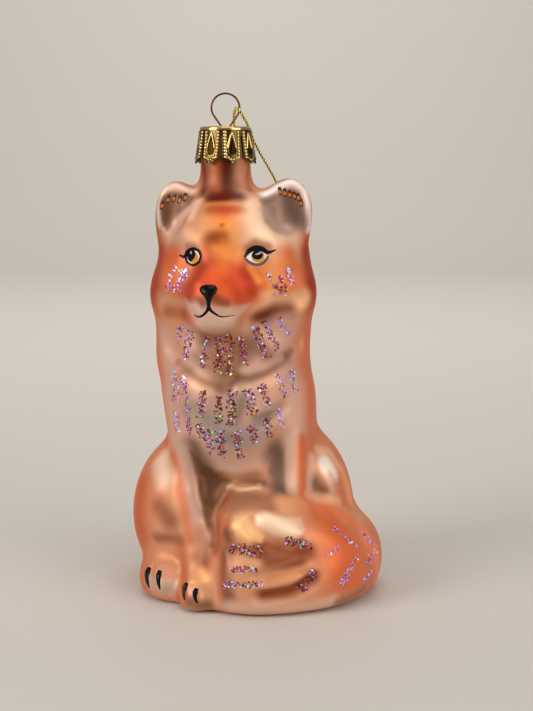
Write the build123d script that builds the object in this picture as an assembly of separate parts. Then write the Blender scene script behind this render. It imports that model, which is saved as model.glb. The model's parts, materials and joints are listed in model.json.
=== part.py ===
from build123d import *
import math
import os

import numpy as np

# A hanging glass ornament: a sitting fox, blown hollow in one piece with a bottle neck above its head,
# a stamped crown cap on the neck, a sprung wire hanger through the cap and a cord through the wire's loop.
# Millimetres, +Z up. The neck's axis is X = 0, Y = 0. Z = 0 is the flat foot. The fox faces along -Y.

# Glass shell
WALL = 1.0
FOOT_ROUND = 2.0
HEAD_TOP = 104.9
HEAD_TOP_ROUND = 8.0
NECK_TOP = 120.4
NECK_RIM_RADIUS = 6.0
NECK_ROOT = 108.0
NECK_ROOT_RADIUS = 6.6
NECK_BLEND = 3.6

# Crown cap
CAP_SHEET = 0.3
CAP_CLEARANCE = 0.35
CAP_EDGE_ROUND = 0.6
SKIRT_DEPTH = 9.2
SKIRT_FLARE = 1.3
SKIRT_CURVE = 0.14
CLAW_COUNT = 8
CLAW_TURN = 15.0
SLIT_WIDTH = 0.5
SLIT_START = 2.2
CLAW_TIP_LENGTH = 2.6
CLAW_TIP_WIDTH = 1.0
CLAW_BOW_OUT = 0.3
CLAW_BOW_UP = 0.34

# Hanger wire
WIRE_DIAMETER = 0.5
LOOP_RADIUS = 3.6
LOOP_RISE = 4.8
LEG_GAP = 2.2
WAIST_RISE = 0.1
WAIST_RADIUS = 1.0
LEG_DEPTH = 24.0
LEG_BEND_DEPTH = 3.0
LEG_BEND_RADIUS = 6.0
LEG_CLEARANCE = 0.3
HOLE_CLEARANCE = 0.25

# Hanging cord and its knot
CORD_DIAMETER = 0.8
CORD_SPACING = 1.2
BEND_SHARE = 0.45
KNOT_RADIUS = 1.3
KNOT_LENGTH = 2.8
KNOT_ROUND = 0.7
KNOT_SEAT = (9.0, 20.8, 45.0)
KNOT_TAIL_LENGTH = 7.0
KNOT_TAIL_SPREAD = 0.9

# Trunk and head, from foot to crown: height, middle x, half width, front y, back y
TRUNK = [
    (-6.0, 4.2, 20.5, -17.0, 22.0),
    (10.0, 4.2, 20.5, -17.0, 23.5),
    (20.0, 4.2, 20.5, -16.8, 23.0),
    (31.0, 4.2, 20.2, -15.8, 21.5),
    (41.0, 4.1, 19.8, -15.6, 19.5),
    (51.0, 3.4, 20.1, -16.0, 17.5),
    (61.0, 1.8, 20.2, -15.2, 16.0),
    (69.0, 1.9, 20.3, -14.8, 15.6),
    (77.0, 2.0, 21.0, -15.2, 16.4),
    (85.0, 2.1, 20.1, -15.0, 17.2),
    (93.0, 2.0, 19.0, -13.5, 16.4),
    (101.0, 1.9, 17.4, -10.5, 13.0),
    (107.0, 1.8, 16.0, -9.0, 11.0),
    (113.0, 1.8, 15.0, -8.0, 10.0),
]

# Tail, swept round the foot from the front paws to the back:
# degrees round from the front, sweep radius, middle height, half thickness, half height
TAIL_CENTRE = (4.0, 0.0)
TAIL = [
    (-22.0, 20.0, 5.4, 4.0, 7.4),
    (-12.0, 21.8, 8.2, 7.0, 11.8),
    (0.0, 22.8, 10.4, 8.4, 15.0),
    (25.0, 24.5, 11.0, 9.2, 15.4),
    (55.0, 27.0, 9.6, 9.6, 13.6),
    (90.0, 28.2, 8.5, 8.8, 11.8),
    (125.0, 24.0, 8.4, 7.6, 12.5),
    (160.0, 20.0, 7.5, 6.0, 10.5),
    (175.0, 18.0, 6.5, 2.0, 5.5),
]
TAIL_BLEND = 3.4

# Rounded forms: centre, half sizes, turn about x, y and z in degrees, blend into the rest
HEAD_FORMS = [
    ((1.0, -4.0, 91.5), (15.5, 13.0, 12.0), (0, 0, 0), 4.0),     # forehead
    ((-9.0, -6.5, 79.0), (9.5, 8.6, 9.0), (0, 0, 0), 5.0),       # cheek, -X side
    ((12.6, -6.5, 79.0), (9.8, 8.6, 9.0), (0, 0, 0), 5.0),       # cheek, +X side
]
BODY_FORMS = [
    ((2.2, -9.5, 51.5), (15.5, 11.0, 19.0), (0, 0, 0), 4.0),     # chest bib
    ((-11.8, 3.0, 20.5), (13.4, 19.0, 19.2), (0, 6, 0), 3.0),    # haunch, -X side
    ((20.4, 3.0, 24.0), (13.0, 18.0, 19.0), (0, -12, 0), 3.0),   # haunch, +X side
    ((-15.3, -7.5, 4.2), (7.6, 12.0, 7.4), (0, 0, 8), 2.5),      # hind foot, -X side
    ((23.5, -7.0, 4.2), (7.2, 12.0, 7.2), (0, 0, -8), 2.5),      # hind foot, +X side
    ((-6.6, -19.0, 3.6), (5.8, 8.8, 6.6), (0, 0, 0), 2.0),       # front paw
    ((-10.0, -9.0, 0.0), (10.0, 11.0, 4.6), (0, 0, 0), 2.0),     # glass between the paws, low at the foot
    ((8.6, -14.0, 12.0), (15.6, 13.4, 21.2), (0, 0, 0), 4.0),    # lap, between the front legs and the tail
]
EARS = [
    ((-11.6, -2.5, 96.9), (6.4, 4.6, 10.2), (0, -9, 14), 3.0),
    ((15.2, -2.5, 97.5), (7.0, 4.6, 10.4), (0, 11, -8), 3.0),
]

# Hollows pressed into the skin: centre, half sizes, turn about x, y and z in degrees, blend
HOLLOWS = [
    ((-9.2, -19.2, 87.2), (3.6, 3.6, 3.2), (0, 0, 0), 3.0),      # eye, -X side
    ((8.6, -19.2, 87.4), (4.4, 3.6, 3.2), (0, 0, 0), 3.0),       # eye, +X side
    ((-14.0, -10.2, 99.0), (3.6, 3.6, 5.6), (0, -6, 12), 2.0),   # inside of the ear, -X side
    ((15.2, -11.2, 99.6), (4.8, 4.2, 6.0), (0, 8, -6), 2.0),     # inside of the ear, +X side
    ((24.8, -14.4, 31.0), (3.4, 3.6, 4.4), (0, 0, 0), 2.0),      # side of the haunch
]

# Folds pressed into the skin: radius, blend, places that the fold runs through
FOLDS = [
    # under the cheeks
    (2.4, 2.0, [(-17.2, -12.8, 76.4), (-12.8, -16.4, 75.2), (-9.0, -21.6, 74.0)]),
    (2.6, 2.0, [(9.8, -16.8, 72.8), (14.4, -16.5, 75.8), (19.2, -14.2, 77.0)]),
    # chest fur
    (1.9, 1.6, [(-14.6, -9.4, 65.0), (-10.4, -15.2, 61.4), (-4.9, -19.7, 58.7), (0.8, -21.4, 56.4)]),
    (1.9, 1.6, [(2.0, -21.4, 56.4), (8.0, -20.1, 59.2), (14.3, -15.2, 62.4), (19.4, -8.6, 65.2)]),
    # beside the legs
    (2.8, 2.4, [(-9.0, -17.2, 39.0), (-5.0, -17.6, 33.0), (-3.0, -19.6, 29.0)]),
    (2.8, 2.4, [(14.8, -17.2, 41.0), (13.6, -17.8, 36.0)]),
    # under the chest
    (1.8, 1.6, [(-5.0, -18.2, 33.6), (0.7, -19.4, 32.2), (7.8, -19.6, 32.8), (13.0, -18.4, 35.8)]),
    # leg to tail
    (1.7, 1.6, [(-3.0, -21.0, 27.0), (-3.4, -23.0, 21.0), (-2.6, -28.0, 14.0), (-2.8, -28.2, 5.0)]),
    # leg to haunch
    (1.8, 1.6, [(-12.4, -15.8, 34.5), (-9.6, -20.0, 22.0), (-8.2, -22.2, 15.4)]),
    # above the hind foot, and between it and the front paw
    (1.6, 1.6, [(-20.8, -12.0, 13.9), (-14.8, -16.0, 14.4), (-8.6, -21.9, 15.8)]),
    (1.8, 1.6, [(-12.7, -17.2, 10.8), (-11.8, -24.6, 4.6)]),
    # tail fur
    (1.9, 1.6, [(3.2, -29.0, 21.4), (8.9, -31.2, 22.0), (12.4, -31.8, 19.8), (18.9, -30.9, 17.7)]),
    (1.9, 1.6, [(1.0, -30.5, 16.5), (8.9, -33.2, 15.3), (16.6, -32.4, 15.0), (23.8, -28.8, 18.2)]),
    (1.7, 1.6, [(7.7, -33.3, 11.3), (15.5, -32.8, 12.6), (27.0, -27.6, 15.4)]),
    (1.8, 1.6, [(8.4, -32.9, 5.8), (18.5, -31.8, 7.5), (24.5, -29.6, 11.4)]),
]

# Tapered limbs: from, to, radius at each end, blend into the rest
HEAD_LIMBS = [
    ((0.6, -7.0, 85.5), (-3.0, -17.8, 79.4), 10.5, 6.0, 7.0),    # bridge of the muzzle
    ((0.6, -8.0, 78.0), (-2.4, -16.6, 76.2), 10.0, 6.4, 6.0),    # jaw
]
BODY_LIMBS = [
    ((-9.0, -5.5, 52.0), (-6.8, -17.5, 8.0), 6.6, 4.3, 3.5),     # front leg, -X side
    ((15.6, -5.5, 52.0), (14.6, -17.5, 8.0), 6.6, 4.3, 3.5),     # front leg, +X side
]

# Skin sections: rays from a spine (height, x, y), level at the foot, dipped over the tail, level up to
# the head's middle, tilted up from there over the ears and crown, and level again round the neck
SPINE = [
    (0.0, 12.0, -1.0),
    (24.0, 12.0, -1.0),
    (45.0, 4.0, 0.0),
    (75.0, 1.5, -1.0),
]
HEAD_MIDDLE = 75.0
DIP_TOP = 45.0
DIP_SLOPE = 0.25
SECTION_POINTS = 108
FOOT_SHARES = [0.0, 0.12, 0.35, 0.65]
TAIL_SECTIONS = 34
CHEST_SECTIONS = 21
NECK_SECTIONS = 4
FACE_TILTS = np.arange(4, 48, 4)
EAR_TILTS = np.linspace(48, 66, 9)
CROWN_TILTS = np.linspace(67, 80, 11)
SECTION_REACH = 2 * max(sweep + thick for _, sweep, _, thick, _ in TAIL)
SEARCH_STEP = 0.5
SKIN_TOLERANCE = 0.002
FLAT = 1e-4

# Cord route, from the knot up the fox's back, over the head, through the wire loop and down again
CORD_ROUTE = [
    (KNOT_SEAT[0] - CORD_SPACING / 2, KNOT_SEAT[1], KNOT_SEAT[2] + KNOT_LENGTH / 2),
    (8.2, 19.9, 58.0),
    (7.0, 19.1, 72.0),
    (5.6, 18.8, 85.0),
    (4.2, 17.4, 95.0),
    (3.2, 13.9, 104.0),
    (2.6, 10.6, 112.2),
    (2.2, 9.2, 118.0),
    (2.0, 6.9, 122.2),
    (2.1, 2.9, 124.0),
    (2.5, 0.8, 125.2),
    (2.9, -0.9, 125.6),
    (4.0, -1.1, 124.4),
    (4.6, 0.8, 123.0),
    (5.3, 3.8, 122.2),
    (6.1, 6.7, 119.8),
    (7.9, 7.8, 115.6),
    (10.6, 8.8, 111.0),
    (13.4, 10.6, 106.2),
    (15.0, 13.6, 99.6),
    (14.6, 16.8, 90.0),
    (12.8, 18.6, 78.0),
    (10.8, 19.6, 63.0),
    (KNOT_SEAT[0] + CORD_SPACING / 2, KNOT_SEAT[1], KNOT_SEAT[2] + KNOT_LENGTH / 2),
]

CAP_TOP = NECK_TOP + CAP_SHEET
CAP_RADIUS = NECK_RIM_RADIUS + CAP_CLEARANCE + CAP_SHEET
CAP_TIP = CAP_TOP - SKIRT_DEPTH
HOLE_RADIUS = LEG_GAP / 2 + WIRE_DIAMETER / 2 + HOLE_CLEARANCE
LOOP_CENTRE = CAP_TOP + LOOP_RISE
LEG_SPREAD = NECK_RIM_RADIUS - WALL - WIRE_DIAMETER / 2 - LEG_CLEARANCE


def smooth_table(table, at):
    """Smooth curves through a table's rows: the first column is where, the others are the values there."""
    rows = np.array(table)
    where = rows[:, 0]
    values = rows[:, 1:]
    slopes = np.gradient(values, where, axis=0)
    at = np.clip(at, where[0], where[-1])
    low = np.clip(np.searchsorted(where, at) - 1, 0, len(where) - 2)
    span = (where[low + 1] - where[low])[..., None]
    t = (at - where[low])[..., None] / span
    start = (1 + 2 * t) * (1 - t) ** 2 * values[low] + t * (1 - t) ** 2 * span * slopes[low]
    end = t * t * (3 - 2 * t) * values[low + 1] + t * t * (t - 1) * span * slopes[low + 1]
    return np.moveaxis(start + end, -1, 0)


def turn_matrix(turn):
    """Rotation about x, then y, then z, in degrees."""
    x, y, z = np.radians(turn)
    about_x = np.array([[1, 0, 0], [0, math.cos(x), -math.sin(x)], [0, math.sin(x), math.cos(x)]])
    about_y = np.array([[math.cos(y), 0, math.sin(y)], [0, 1, 0], [-math.sin(y), 0, math.cos(y)]])
    about_z = np.array([[math.cos(z), -math.sin(z), 0], [math.sin(z), math.cos(z), 0], [0, 0, 1]])
    return about_z @ about_y @ about_x


def melt(one, other, blend):
    """Union of two distances, rounded where they meet."""
    share = np.clip(0.5 + 0.5 * (other - one) / blend, 0, 1)
    return other + (one - other) * share - blend * share * (1 - share)


def rounded_form(points, centre, half_sizes, turn):
    """Distance from an ellipsoid, below zero inside."""
    local = (points - np.array(centre)) @ turn_matrix(turn) / np.array(half_sizes)
    size = np.linalg.norm(local, axis=-1)
    steepness = np.linalg.norm(local / np.array(half_sizes), axis=-1) + FLAT
    return size * (size - 1) / steepness


def limb(points, start, end, start_radius, end_radius):
    """Distance from a tapered round limb, below zero inside."""
    run = np.array(end) - np.array(start)
    offset = points - np.array(start)
    share = np.clip(offset @ run / (run @ run), 0, 1)
    from_line = np.linalg.norm(offset - share[..., None] * run, axis=-1)
    return from_line - (start_radius + share * (end_radius - start_radius))


def trunk(points):
    """Distance from the trunk and head, a stack of ovals closed by the rounded crown."""
    x, y, z = np.moveaxis(points, -1, 0)
    middle, half_width, front, back = smooth_table(TRUNK, z)
    half_depth = (back - front) / 2
    across = (x - middle) / half_width
    along = (y - (front + back) / 2) / half_depth
    side = (np.hypot(across, along) - 1) * np.minimum(half_width, half_depth)
    return -melt(-side, HEAD_TOP - z, HEAD_TOP_ROUND)


def tail(points):
    """Distance from the tail, an oval swept round the foot."""
    x, y, z = np.moveaxis(points, -1, 0)
    x = x - TAIL_CENTRE[0]
    y = y - TAIL_CENTRE[1]
    first = TAIL[0][0]
    last = TAIL[-1][0]
    angle = np.degrees(np.arctan2(x, -y))
    angle = np.where(angle < (first + last) / 2 - 180, angle + 360, angle)
    sweep_radius, middle, half_thick, half_high = smooth_table(TAIL, angle)
    radius = np.hypot(x, y)
    size = np.hypot((radius - sweep_radius) / half_thick, (z - middle) / half_high)
    past_end = np.maximum(np.maximum(first - angle, angle - last), 0)
    return (size - 1) * np.minimum(half_thick, half_high) + np.radians(past_end) * radius


def neck(points):
    """Distance from the bottle neck, which narrows a little towards its rim."""
    x, y, z = np.moveaxis(points, -1, 0)
    share = np.clip((NECK_TOP - z) / (NECK_TOP - NECK_ROOT), 0, 1)
    return np.hypot(x, y) - NECK_RIM_RADIUS - share * (NECK_ROOT_RADIUS - NECK_RIM_RADIUS)


def fox(points):
    """Distance from the whole fox with its neck, below zero inside."""
    skin = trunk(points)
    for *limb_shape, blend in HEAD_LIMBS:
        skin = melt(skin, limb(points, *limb_shape), blend)
    for *form, blend in HEAD_FORMS:
        skin = melt(skin, rounded_form(points, *form), blend)
    for *form, blend in EARS:
        skin = melt(skin, rounded_form(points, *form), blend)
    skin = melt(skin, neck(points), NECK_BLEND)
    for *form, blend in BODY_FORMS:
        skin = melt(skin, rounded_form(points, *form), blend)
    for *limb_shape, blend in BODY_LIMBS:
        skin = melt(skin, limb(points, *limb_shape), blend)
    skin = melt(skin, tail(points), TAIL_BLEND)
    for *form, blend in HOLLOWS:
        skin = -melt(-skin, rounded_form(points, *form), blend)
    for radius, blend, places in FOLDS:
        for start, end in zip(places, places[1:]):
            skin = -melt(-skin, limb(points, start, end, radius, radius), blend)
    return skin


def section_rays(foot, top):
    """Where each section's rays start, and how far they tilt up from level."""
    foot_steps = foot + FOOT_ROUND * np.array(FOOT_SHARES)
    tail_steps = np.linspace(foot + FOOT_ROUND, DIP_TOP, TAIL_SECTIONS)
    chest_steps = np.linspace(DIP_TOP, HEAD_MIDDLE, CHEST_SECTIONS)[1:]
    body_steps = np.concatenate([foot_steps, tail_steps, chest_steps])
    below = np.clip((body_steps - foot) / (DIP_TOP - foot), 0, 1)
    body_tilts = -np.arctan(DIP_SLOPE * np.sin(math.pi * below) ** 2)
    head_degrees = np.concatenate([FACE_TILTS, EAR_TILTS, CROWN_TILTS])
    head_tilts = np.radians(head_degrees)
    neck_low = HEAD_MIDDLE + NECK_ROOT_RADIUS * math.tan(head_tilts[-1])
    neck_steps = np.linspace(neck_low, top, NECK_SECTIONS)[1:]

    body_x, body_y = smooth_table(SPINE, body_steps)
    from_axis = 1 - head_degrees / head_degrees[-1]
    on_axis = np.zeros(len(neck_steps))
    start_x = np.concatenate([body_x, body_x[-1] * from_axis, on_axis])
    start_y = np.concatenate([body_y, body_y[-1] * from_axis, on_axis])
    start_z = np.concatenate([body_steps, np.full(len(head_tilts), HEAD_MIDDLE), neck_steps])
    tilts = np.concatenate([body_tilts, head_tilts, on_axis])
    return np.stack([start_x, start_y, start_z], axis=-1), tilts


def skin_points(depth, foot, top):
    """Rows of points on the skin that lies a depth inside the fox, drawn in round the edge of its foot."""
    starts, tilts = section_rays(foot, top)
    around = np.linspace(0, 2 * math.pi, SECTION_POINTS, endpoint=False) + math.pi / 2
    level = np.stack([np.cos(around), np.sin(around), np.zeros(SECTION_POINTS)], axis=-1)
    heading = np.cos(tilts)[:, None, None] * level + np.sin(tilts)[:, None, None] * np.array([0, 0, 1])

    def on_ray(reach):
        return starts[:, None, :] + reach[..., None] * heading

    def over_skin(reach):
        points = on_ray(reach)
        over_foot = np.clip(1 - (points[..., 2] - foot) / FOOT_ROUND, 0, 1)
        inset = FOOT_ROUND * (1 - np.sqrt(1 - over_foot ** 2))
        return fox(points) + depth + inset

    inner = np.zeros((len(starts), SECTION_POINTS))
    for step in np.arange(0, SECTION_REACH, SEARCH_STEP):
        reach = np.full_like(inner, step)
        inner = np.where(over_skin(reach) < 0, reach, inner)
    outer = inner + SEARCH_STEP
    while np.max(outer - inner) > SKIN_TOLERANCE:
        middle = (inner + outer) / 2
        inside = over_skin(middle) < 0
        inner = np.where(inside, middle, inner)
        outer = np.where(inside, outer, middle)
    return on_ray(inner)


def skin_loft(depth, foot, top):
    """Skin at a depth, lofted from section to section: its bands, its flat foot and its rim."""
    spacing = list(range(SECTION_POINTS + 1))
    sections = []
    for row in skin_points(depth, foot, top):
        ring = [tuple(point) for point in row]
        sections.append(Wire([Edge.make_spline(ring, periodic=True, parameters=spacing)]))
    sole, *bands, lid = Solid.make_loft(sections, ruled=True).faces().sort_by(Axis.Z)
    return bands, sole, lid.outer_wire()


def glass_body():
    """The blown shell: fox, ears and neck in one wall, open at the neck's rim."""
    outer_bands, sole, outer_rim = skin_loft(0, 0, NECK_TOP)
    inner_bands, floor, inner_rim = skin_loft(WALL, WALL, NECK_TOP)
    rim = Face(outer_rim, [inner_rim])
    return Solid(Shell([*outer_bands, sole, *inner_bands, floor, rim]))


def cap_profile():
    """Half section of the pressed sheet: flat top, rounded edge and flared skirt."""
    edge_top = CAP_TOP - CAP_EDGE_ROUND
    inner_round = CAP_EDGE_ROUND - CAP_SHEET
    tip_radius = CAP_RADIUS + SKIRT_FLARE
    mid_radius = CAP_RADIUS + SKIRT_FLARE / 2 - SKIRT_CURVE
    mid_height = (edge_top + CAP_TIP) / 2
    round_middle = CAP_EDGE_ROUND * (1 - math.sqrt(0.5))
    inner_middle = inner_round * (1 - math.sqrt(0.5))
    sheet_radius = CAP_RADIUS - CAP_SHEET
    outline = [
        Line((HOLE_RADIUS, CAP_TOP), (CAP_RADIUS - CAP_EDGE_ROUND, CAP_TOP)),
        ThreePointArc(
            (CAP_RADIUS - CAP_EDGE_ROUND, CAP_TOP),
            (CAP_RADIUS - round_middle, CAP_TOP - round_middle),
            (CAP_RADIUS, edge_top),
        ),
        ThreePointArc((CAP_RADIUS, edge_top), (mid_radius, mid_height), (tip_radius, CAP_TIP)),
        Line((tip_radius, CAP_TIP), (tip_radius - CAP_SHEET, CAP_TIP)),
        ThreePointArc(
            (tip_radius - CAP_SHEET, CAP_TIP),
            (mid_radius - CAP_SHEET, mid_height),
            (sheet_radius, edge_top),
        ),
        ThreePointArc(
            (sheet_radius, edge_top),
            (sheet_radius - inner_middle, NECK_TOP - inner_middle),
            (CAP_RADIUS - CAP_EDGE_ROUND, NECK_TOP),
        ),
        Line((CAP_RADIUS - CAP_EDGE_ROUND, NECK_TOP), (HOLE_RADIUS, NECK_TOP)),
        Line((HOLE_RADIUS, NECK_TOP), (HOLE_RADIUS, CAP_TOP)),
    ]
    return Plane.XZ * make_face(outline)


def claw_notch(angle):
    """Slit between two claws, opening out below to leave each claw a rounded point."""
    half_slit = SLIT_WIDTH / 2
    tip_radius = CAP_RADIUS + SKIRT_FLARE
    half_notch = tip_radius * math.tan(math.pi / CLAW_COUNT) - CLAW_TIP_WIDTH / 2
    slit_top = CAP_TOP - SLIT_START
    notch_top = CAP_TIP + CLAW_TIP_LENGTH
    below = CAP_TIP - SLIT_WIDTH
    bow_out = half_slit + CLAW_BOW_OUT * (half_notch - half_slit)
    bow_height = CAP_TIP + CLAW_BOW_UP * CLAW_TIP_LENGTH
    outline = [
        Line((half_slit, notch_top), (half_slit, slit_top)),
        ThreePointArc((half_slit, slit_top), (0, slit_top + half_slit), (-half_slit, slit_top)),
        Line((-half_slit, slit_top), (-half_slit, notch_top)),
        ThreePointArc((-half_slit, notch_top), (-bow_out, bow_height), (-half_notch, CAP_TIP)),
        Line((-half_notch, CAP_TIP), (-half_notch, below)),
        Line((-half_notch, below), (half_notch, below)),
        Line((half_notch, below), (half_notch, CAP_TIP)),
        ThreePointArc((half_notch, CAP_TIP), (bow_out, bow_height), (half_slit, notch_top)),
    ]
    turn = math.radians(angle)
    outwards = (math.sin(turn), -math.cos(turn), 0)
    sideways = (math.cos(turn), math.sin(turn), 0)
    face = Plane(origin=(0, 0, 0), x_dir=sideways, z_dir=outwards) * make_face(outline)
    return extrude(face, amount=tip_radius + SLIT_WIDTH)


def crown_cap():
    """Pressed sheet cap whose slit skirt hugs the neck with a ring of claws."""
    cap = revolve(cap_profile(), Axis.Z)
    pitch = 360 / CLAW_COUNT
    for claw in range(CLAW_COUNT):
        cap = cap - claw_notch(CLAW_TURN + (claw + 0.5) * pitch)
    return cap


def round_tube(path, diameter):
    """Round rod along a path, square across its start."""
    start = Plane(origin=path @ 0, z_dir=path % 0)
    return sweep(start * Circle(diameter / 2), path=path)


def hanger_wire():
    """One bent spring wire: a drop-shaped loop over the cap, and two legs splayed inside the neck."""
    half_gap = LEG_GAP / 2
    waist_z = CAP_TOP + WAIST_RISE
    drop = LOOP_CENTRE - waist_z
    lean = math.atan2(half_gap, drop) + math.acos(LOOP_RADIUS / math.hypot(half_gap, drop))
    joint_x = LOOP_RADIUS * math.sin(lean)
    joint_z = LOOP_CENTRE - LOOP_RADIUS * math.cos(lean)
    bend_z = CAP_TOP - LEG_BEND_DEPTH
    foot_z = CAP_TOP - LEG_DEPTH
    leg = FilletPolyline(
        (joint_x, 0, joint_z),
        (half_gap, 0, waist_z),
        (half_gap, 0, bend_z),
        (LEG_SPREAD, 0, foot_z),
        radius=[WAIST_RADIUS, LEG_BEND_RADIUS],
    )
    loop = ThreePointArc((joint_x, 0, joint_z), (0, 0, LOOP_CENTRE + LOOP_RADIUS), (-joint_x, 0, joint_z))
    one_side = leg.edges()
    other_side = [edge.mirror(Plane.YZ) for edge in one_side]
    path = Wire([*one_side, *loop.edges(), *other_side])
    return round_tube(path, WIRE_DIAMETER)


def corner_radii(points):
    """Largest arcs that the runs on each side of every corner leave room for."""
    radii = []
    for before, corner, after in zip(points, points[1:], points[2:]):
        run_in = Vector(corner) - Vector(before)
        run_out = Vector(after) - Vector(corner)
        half_turn = math.radians(run_in.get_angle(run_out)) / 2
        radii.append(BEND_SHARE * min(run_in.length, run_out.length) / math.tan(half_turn))
    return radii


def hanging_cord():
    """Cord from knot to knot, limp over the head and doubled through the wire's loop."""
    radii = corner_radii(CORD_ROUTE)
    path = FilletPolyline(*CORD_ROUTE, radius=radii)
    cord = round_tube(path.wire(), CORD_DIAMETER)
    section = math.pi * CORD_DIAMETER ** 2 / 4
    print("cord radii", [round(radius, 2) for radius in radii])
    print("cord length", round(path.length, 1), "volume ratio", round(cord.volume / section / path.length, 4))
    return cord


def cord_knot():
    """Drawn-up overhand knot with two short cut tails."""
    x, y, z = KNOT_SEAT
    knot = Pos(x, y, z) * Cylinder(KNOT_RADIUS, KNOT_LENGTH)
    knot = fillet(knot.edges(), KNOT_ROUND)
    foot_z = z - KNOT_LENGTH / 2
    for side in (-1, 1):
        top = (x + side * CORD_SPACING / 2, y, foot_z + KNOT_ROUND)
        end = (x + side * (CORD_SPACING / 2 + KNOT_TAIL_SPREAD), y, foot_z - KNOT_TAIL_LENGTH)
        knot = knot + round_tube(Line(top, end), CORD_DIAMETER)
    return knot


NODES = {
    "glass_body": glass_body,
    "crown_cap": crown_cap,
    "hanger_wire": hanger_wire,
    "hanging_cord": hanging_cord,
    "cord_knot": cord_knot,
}

os.makedirs("parts", exist_ok=True)
for name, make in NODES.items():
    export_step(make(), f"parts/{name}.step")
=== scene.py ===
import json
import math
import random

import bmesh
import bpy
import numpy as np
from mathutils import Matrix, Vector
from mathutils.bvhtree import BVHTree

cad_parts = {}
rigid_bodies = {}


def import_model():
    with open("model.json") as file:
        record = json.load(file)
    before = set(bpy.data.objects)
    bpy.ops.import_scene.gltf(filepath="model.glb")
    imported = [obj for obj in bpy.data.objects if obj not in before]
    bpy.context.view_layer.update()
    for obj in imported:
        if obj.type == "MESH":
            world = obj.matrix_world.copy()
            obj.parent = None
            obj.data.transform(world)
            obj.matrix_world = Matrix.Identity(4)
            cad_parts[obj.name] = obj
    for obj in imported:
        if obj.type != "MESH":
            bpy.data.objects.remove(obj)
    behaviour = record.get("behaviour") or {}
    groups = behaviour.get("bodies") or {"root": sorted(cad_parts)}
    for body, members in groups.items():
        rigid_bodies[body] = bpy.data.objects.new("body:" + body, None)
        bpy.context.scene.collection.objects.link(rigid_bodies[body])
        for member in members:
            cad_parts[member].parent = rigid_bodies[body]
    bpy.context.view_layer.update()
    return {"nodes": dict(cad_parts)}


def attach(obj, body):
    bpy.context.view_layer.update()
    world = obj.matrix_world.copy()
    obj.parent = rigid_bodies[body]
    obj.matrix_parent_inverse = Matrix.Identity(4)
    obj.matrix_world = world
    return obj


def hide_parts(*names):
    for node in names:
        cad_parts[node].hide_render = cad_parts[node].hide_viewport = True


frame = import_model()

# A hanging glass ornament: a sitting fox with a satin lacquer, hand-painted face and claws, glitter on its
# cheeks, chest and tail, a stamped crown cap, a sprung wire hanger and a metallic cord.
# Sizes in millimetres, except in the studio.
MM = 0.001

# Camera at the picture's angle
PICTURE_WIDTH = 533
PICTURE_HEIGHT = 711
FOCAL_PIXELS = 1350
CAMERA_PLACE = (10.5, -351.0, 112.5)
CAMERA_TILT = 8.28
SENSOR = 36.0

# Studio, in metres and watts. Lamps: name, place, aim, size, power, colour
FOX_MIDDLE = (0.0, 0.0, 0.06)
LAMPS = [
    ("window_left", (-0.55, -0.36, 0.36), FOX_MIDDLE, 0.36, 2.9, (1.0, 0.98, 0.95)),
    ("window_right", (0.5, -0.42, 0.24), FOX_MIDDLE, 0.5, 2.1, (1.0, 0.97, 0.93)),
    ("overhead", (0.05, -0.16, 0.75), FOX_MIDDLE, 0.5, 1.4, (1.0, 0.99, 0.97)),
    ("backdrop_light", (0.0, 0.5, 0.95), (0.0, 1.5, 0.3), 0.9, 8.5, (1.0, 0.98, 0.95)),
]
ROOM_LIGHT = (0.8, 0.78, 0.75, 1)
ROOM_STRENGTH = 0.38
FLOOR_SIZE = 3.0
FLOOR_COLOUR = (0.62, 0.58, 0.53)
BACKDROP_HEIGHT = 2.0
BACKDROP_ROUND = 0.5
BACKDROP_STEPS = 12

# Unevenness of every surface
UNEVEN_INPUTS = ("Patch Scale", "Low", "High", "Ripple Scale")
PATCH_DETAIL = 3
PATCH_RANGE = (0.35, 0.65)
RIPPLE_DETAIL = 2
RIPPLE_HEIGHT = 0.1
ENAMEL_RANGE = 0.15

# Glass
SKIN_VOXEL = 0.55
SKIN_WELD = 0.001
SMOOTHING = 0.5
SKIN_PASSES = 8
SOFT_PASSES = 60
RELIEF_PASSES = 2
SETTLED_PASSES = 40
NECK_TOP = 120.4
NECK_BORE = 5.0
NECK_CUT = 0.5
# Rim and bore of the neck: radius, depth below the top
NECK_RINGS = [(5.75, 0.05), (5.5, 0.0), (5.15, 0.1), (NECK_BORE, 0.5), (NECK_BORE, 8.0), (NECK_BORE, 26.0)]
# How far below a flat top a point may lie and still belong to it
TOP_SLACK = 0.01

# Turned skin: where the spray sets in on it, and the span over which it comes up to its full strength
SIDE_TURN = (0.45, 0.5)
SIDE_STRENGTH = 0.75
BACK_TURN = (-0.1, 0.6)
BACK_STRENGTH = 0.85
HEAD_SIDE_TURN = (0.6, 0.35)
HEAD_STRENGTH = 0.9
HEAD_MIDDLE = 84.0
HEAD_REACH = 20.0
FRONT_TURN = (0.0, 0.25)
ROUND_TURN = (-0.05, 0.25)
FADE_PASSES = 60

# Enamel: how finely dabs, ovals and brushed lines are stepped, and how thin a line's swell gets
DAB_SEGMENTS = 40
DAB_RINGS = 16
OVAL_PLACES = 8
STEPS_PER_PLACE = 6
STROKE_COLUMNS = 7
THINNEST_SWELL = 0.3
SHORT_LINE = 0.5

# Crown cap
CAP_TOP = 120.7
CAP_RADIUS = 6.65
CAP_SHEET = 0.3
CAP_TIP = 111.5
CAP_EDGE_ROUND = 0.6
SKIRT_FLARE = 1.3
SKIRT_CURVE = 0.14
HOLE_RADIUS = 1.6
CLAW_COUNT = 8
CLAW_TURN = 15.0
CLAW_COLUMNS = 37
CLAW_WELD = 0.01
SLIT_START = (1.6, 0.3)
SLIT_HALF_WIDTH = 0.25
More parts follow.
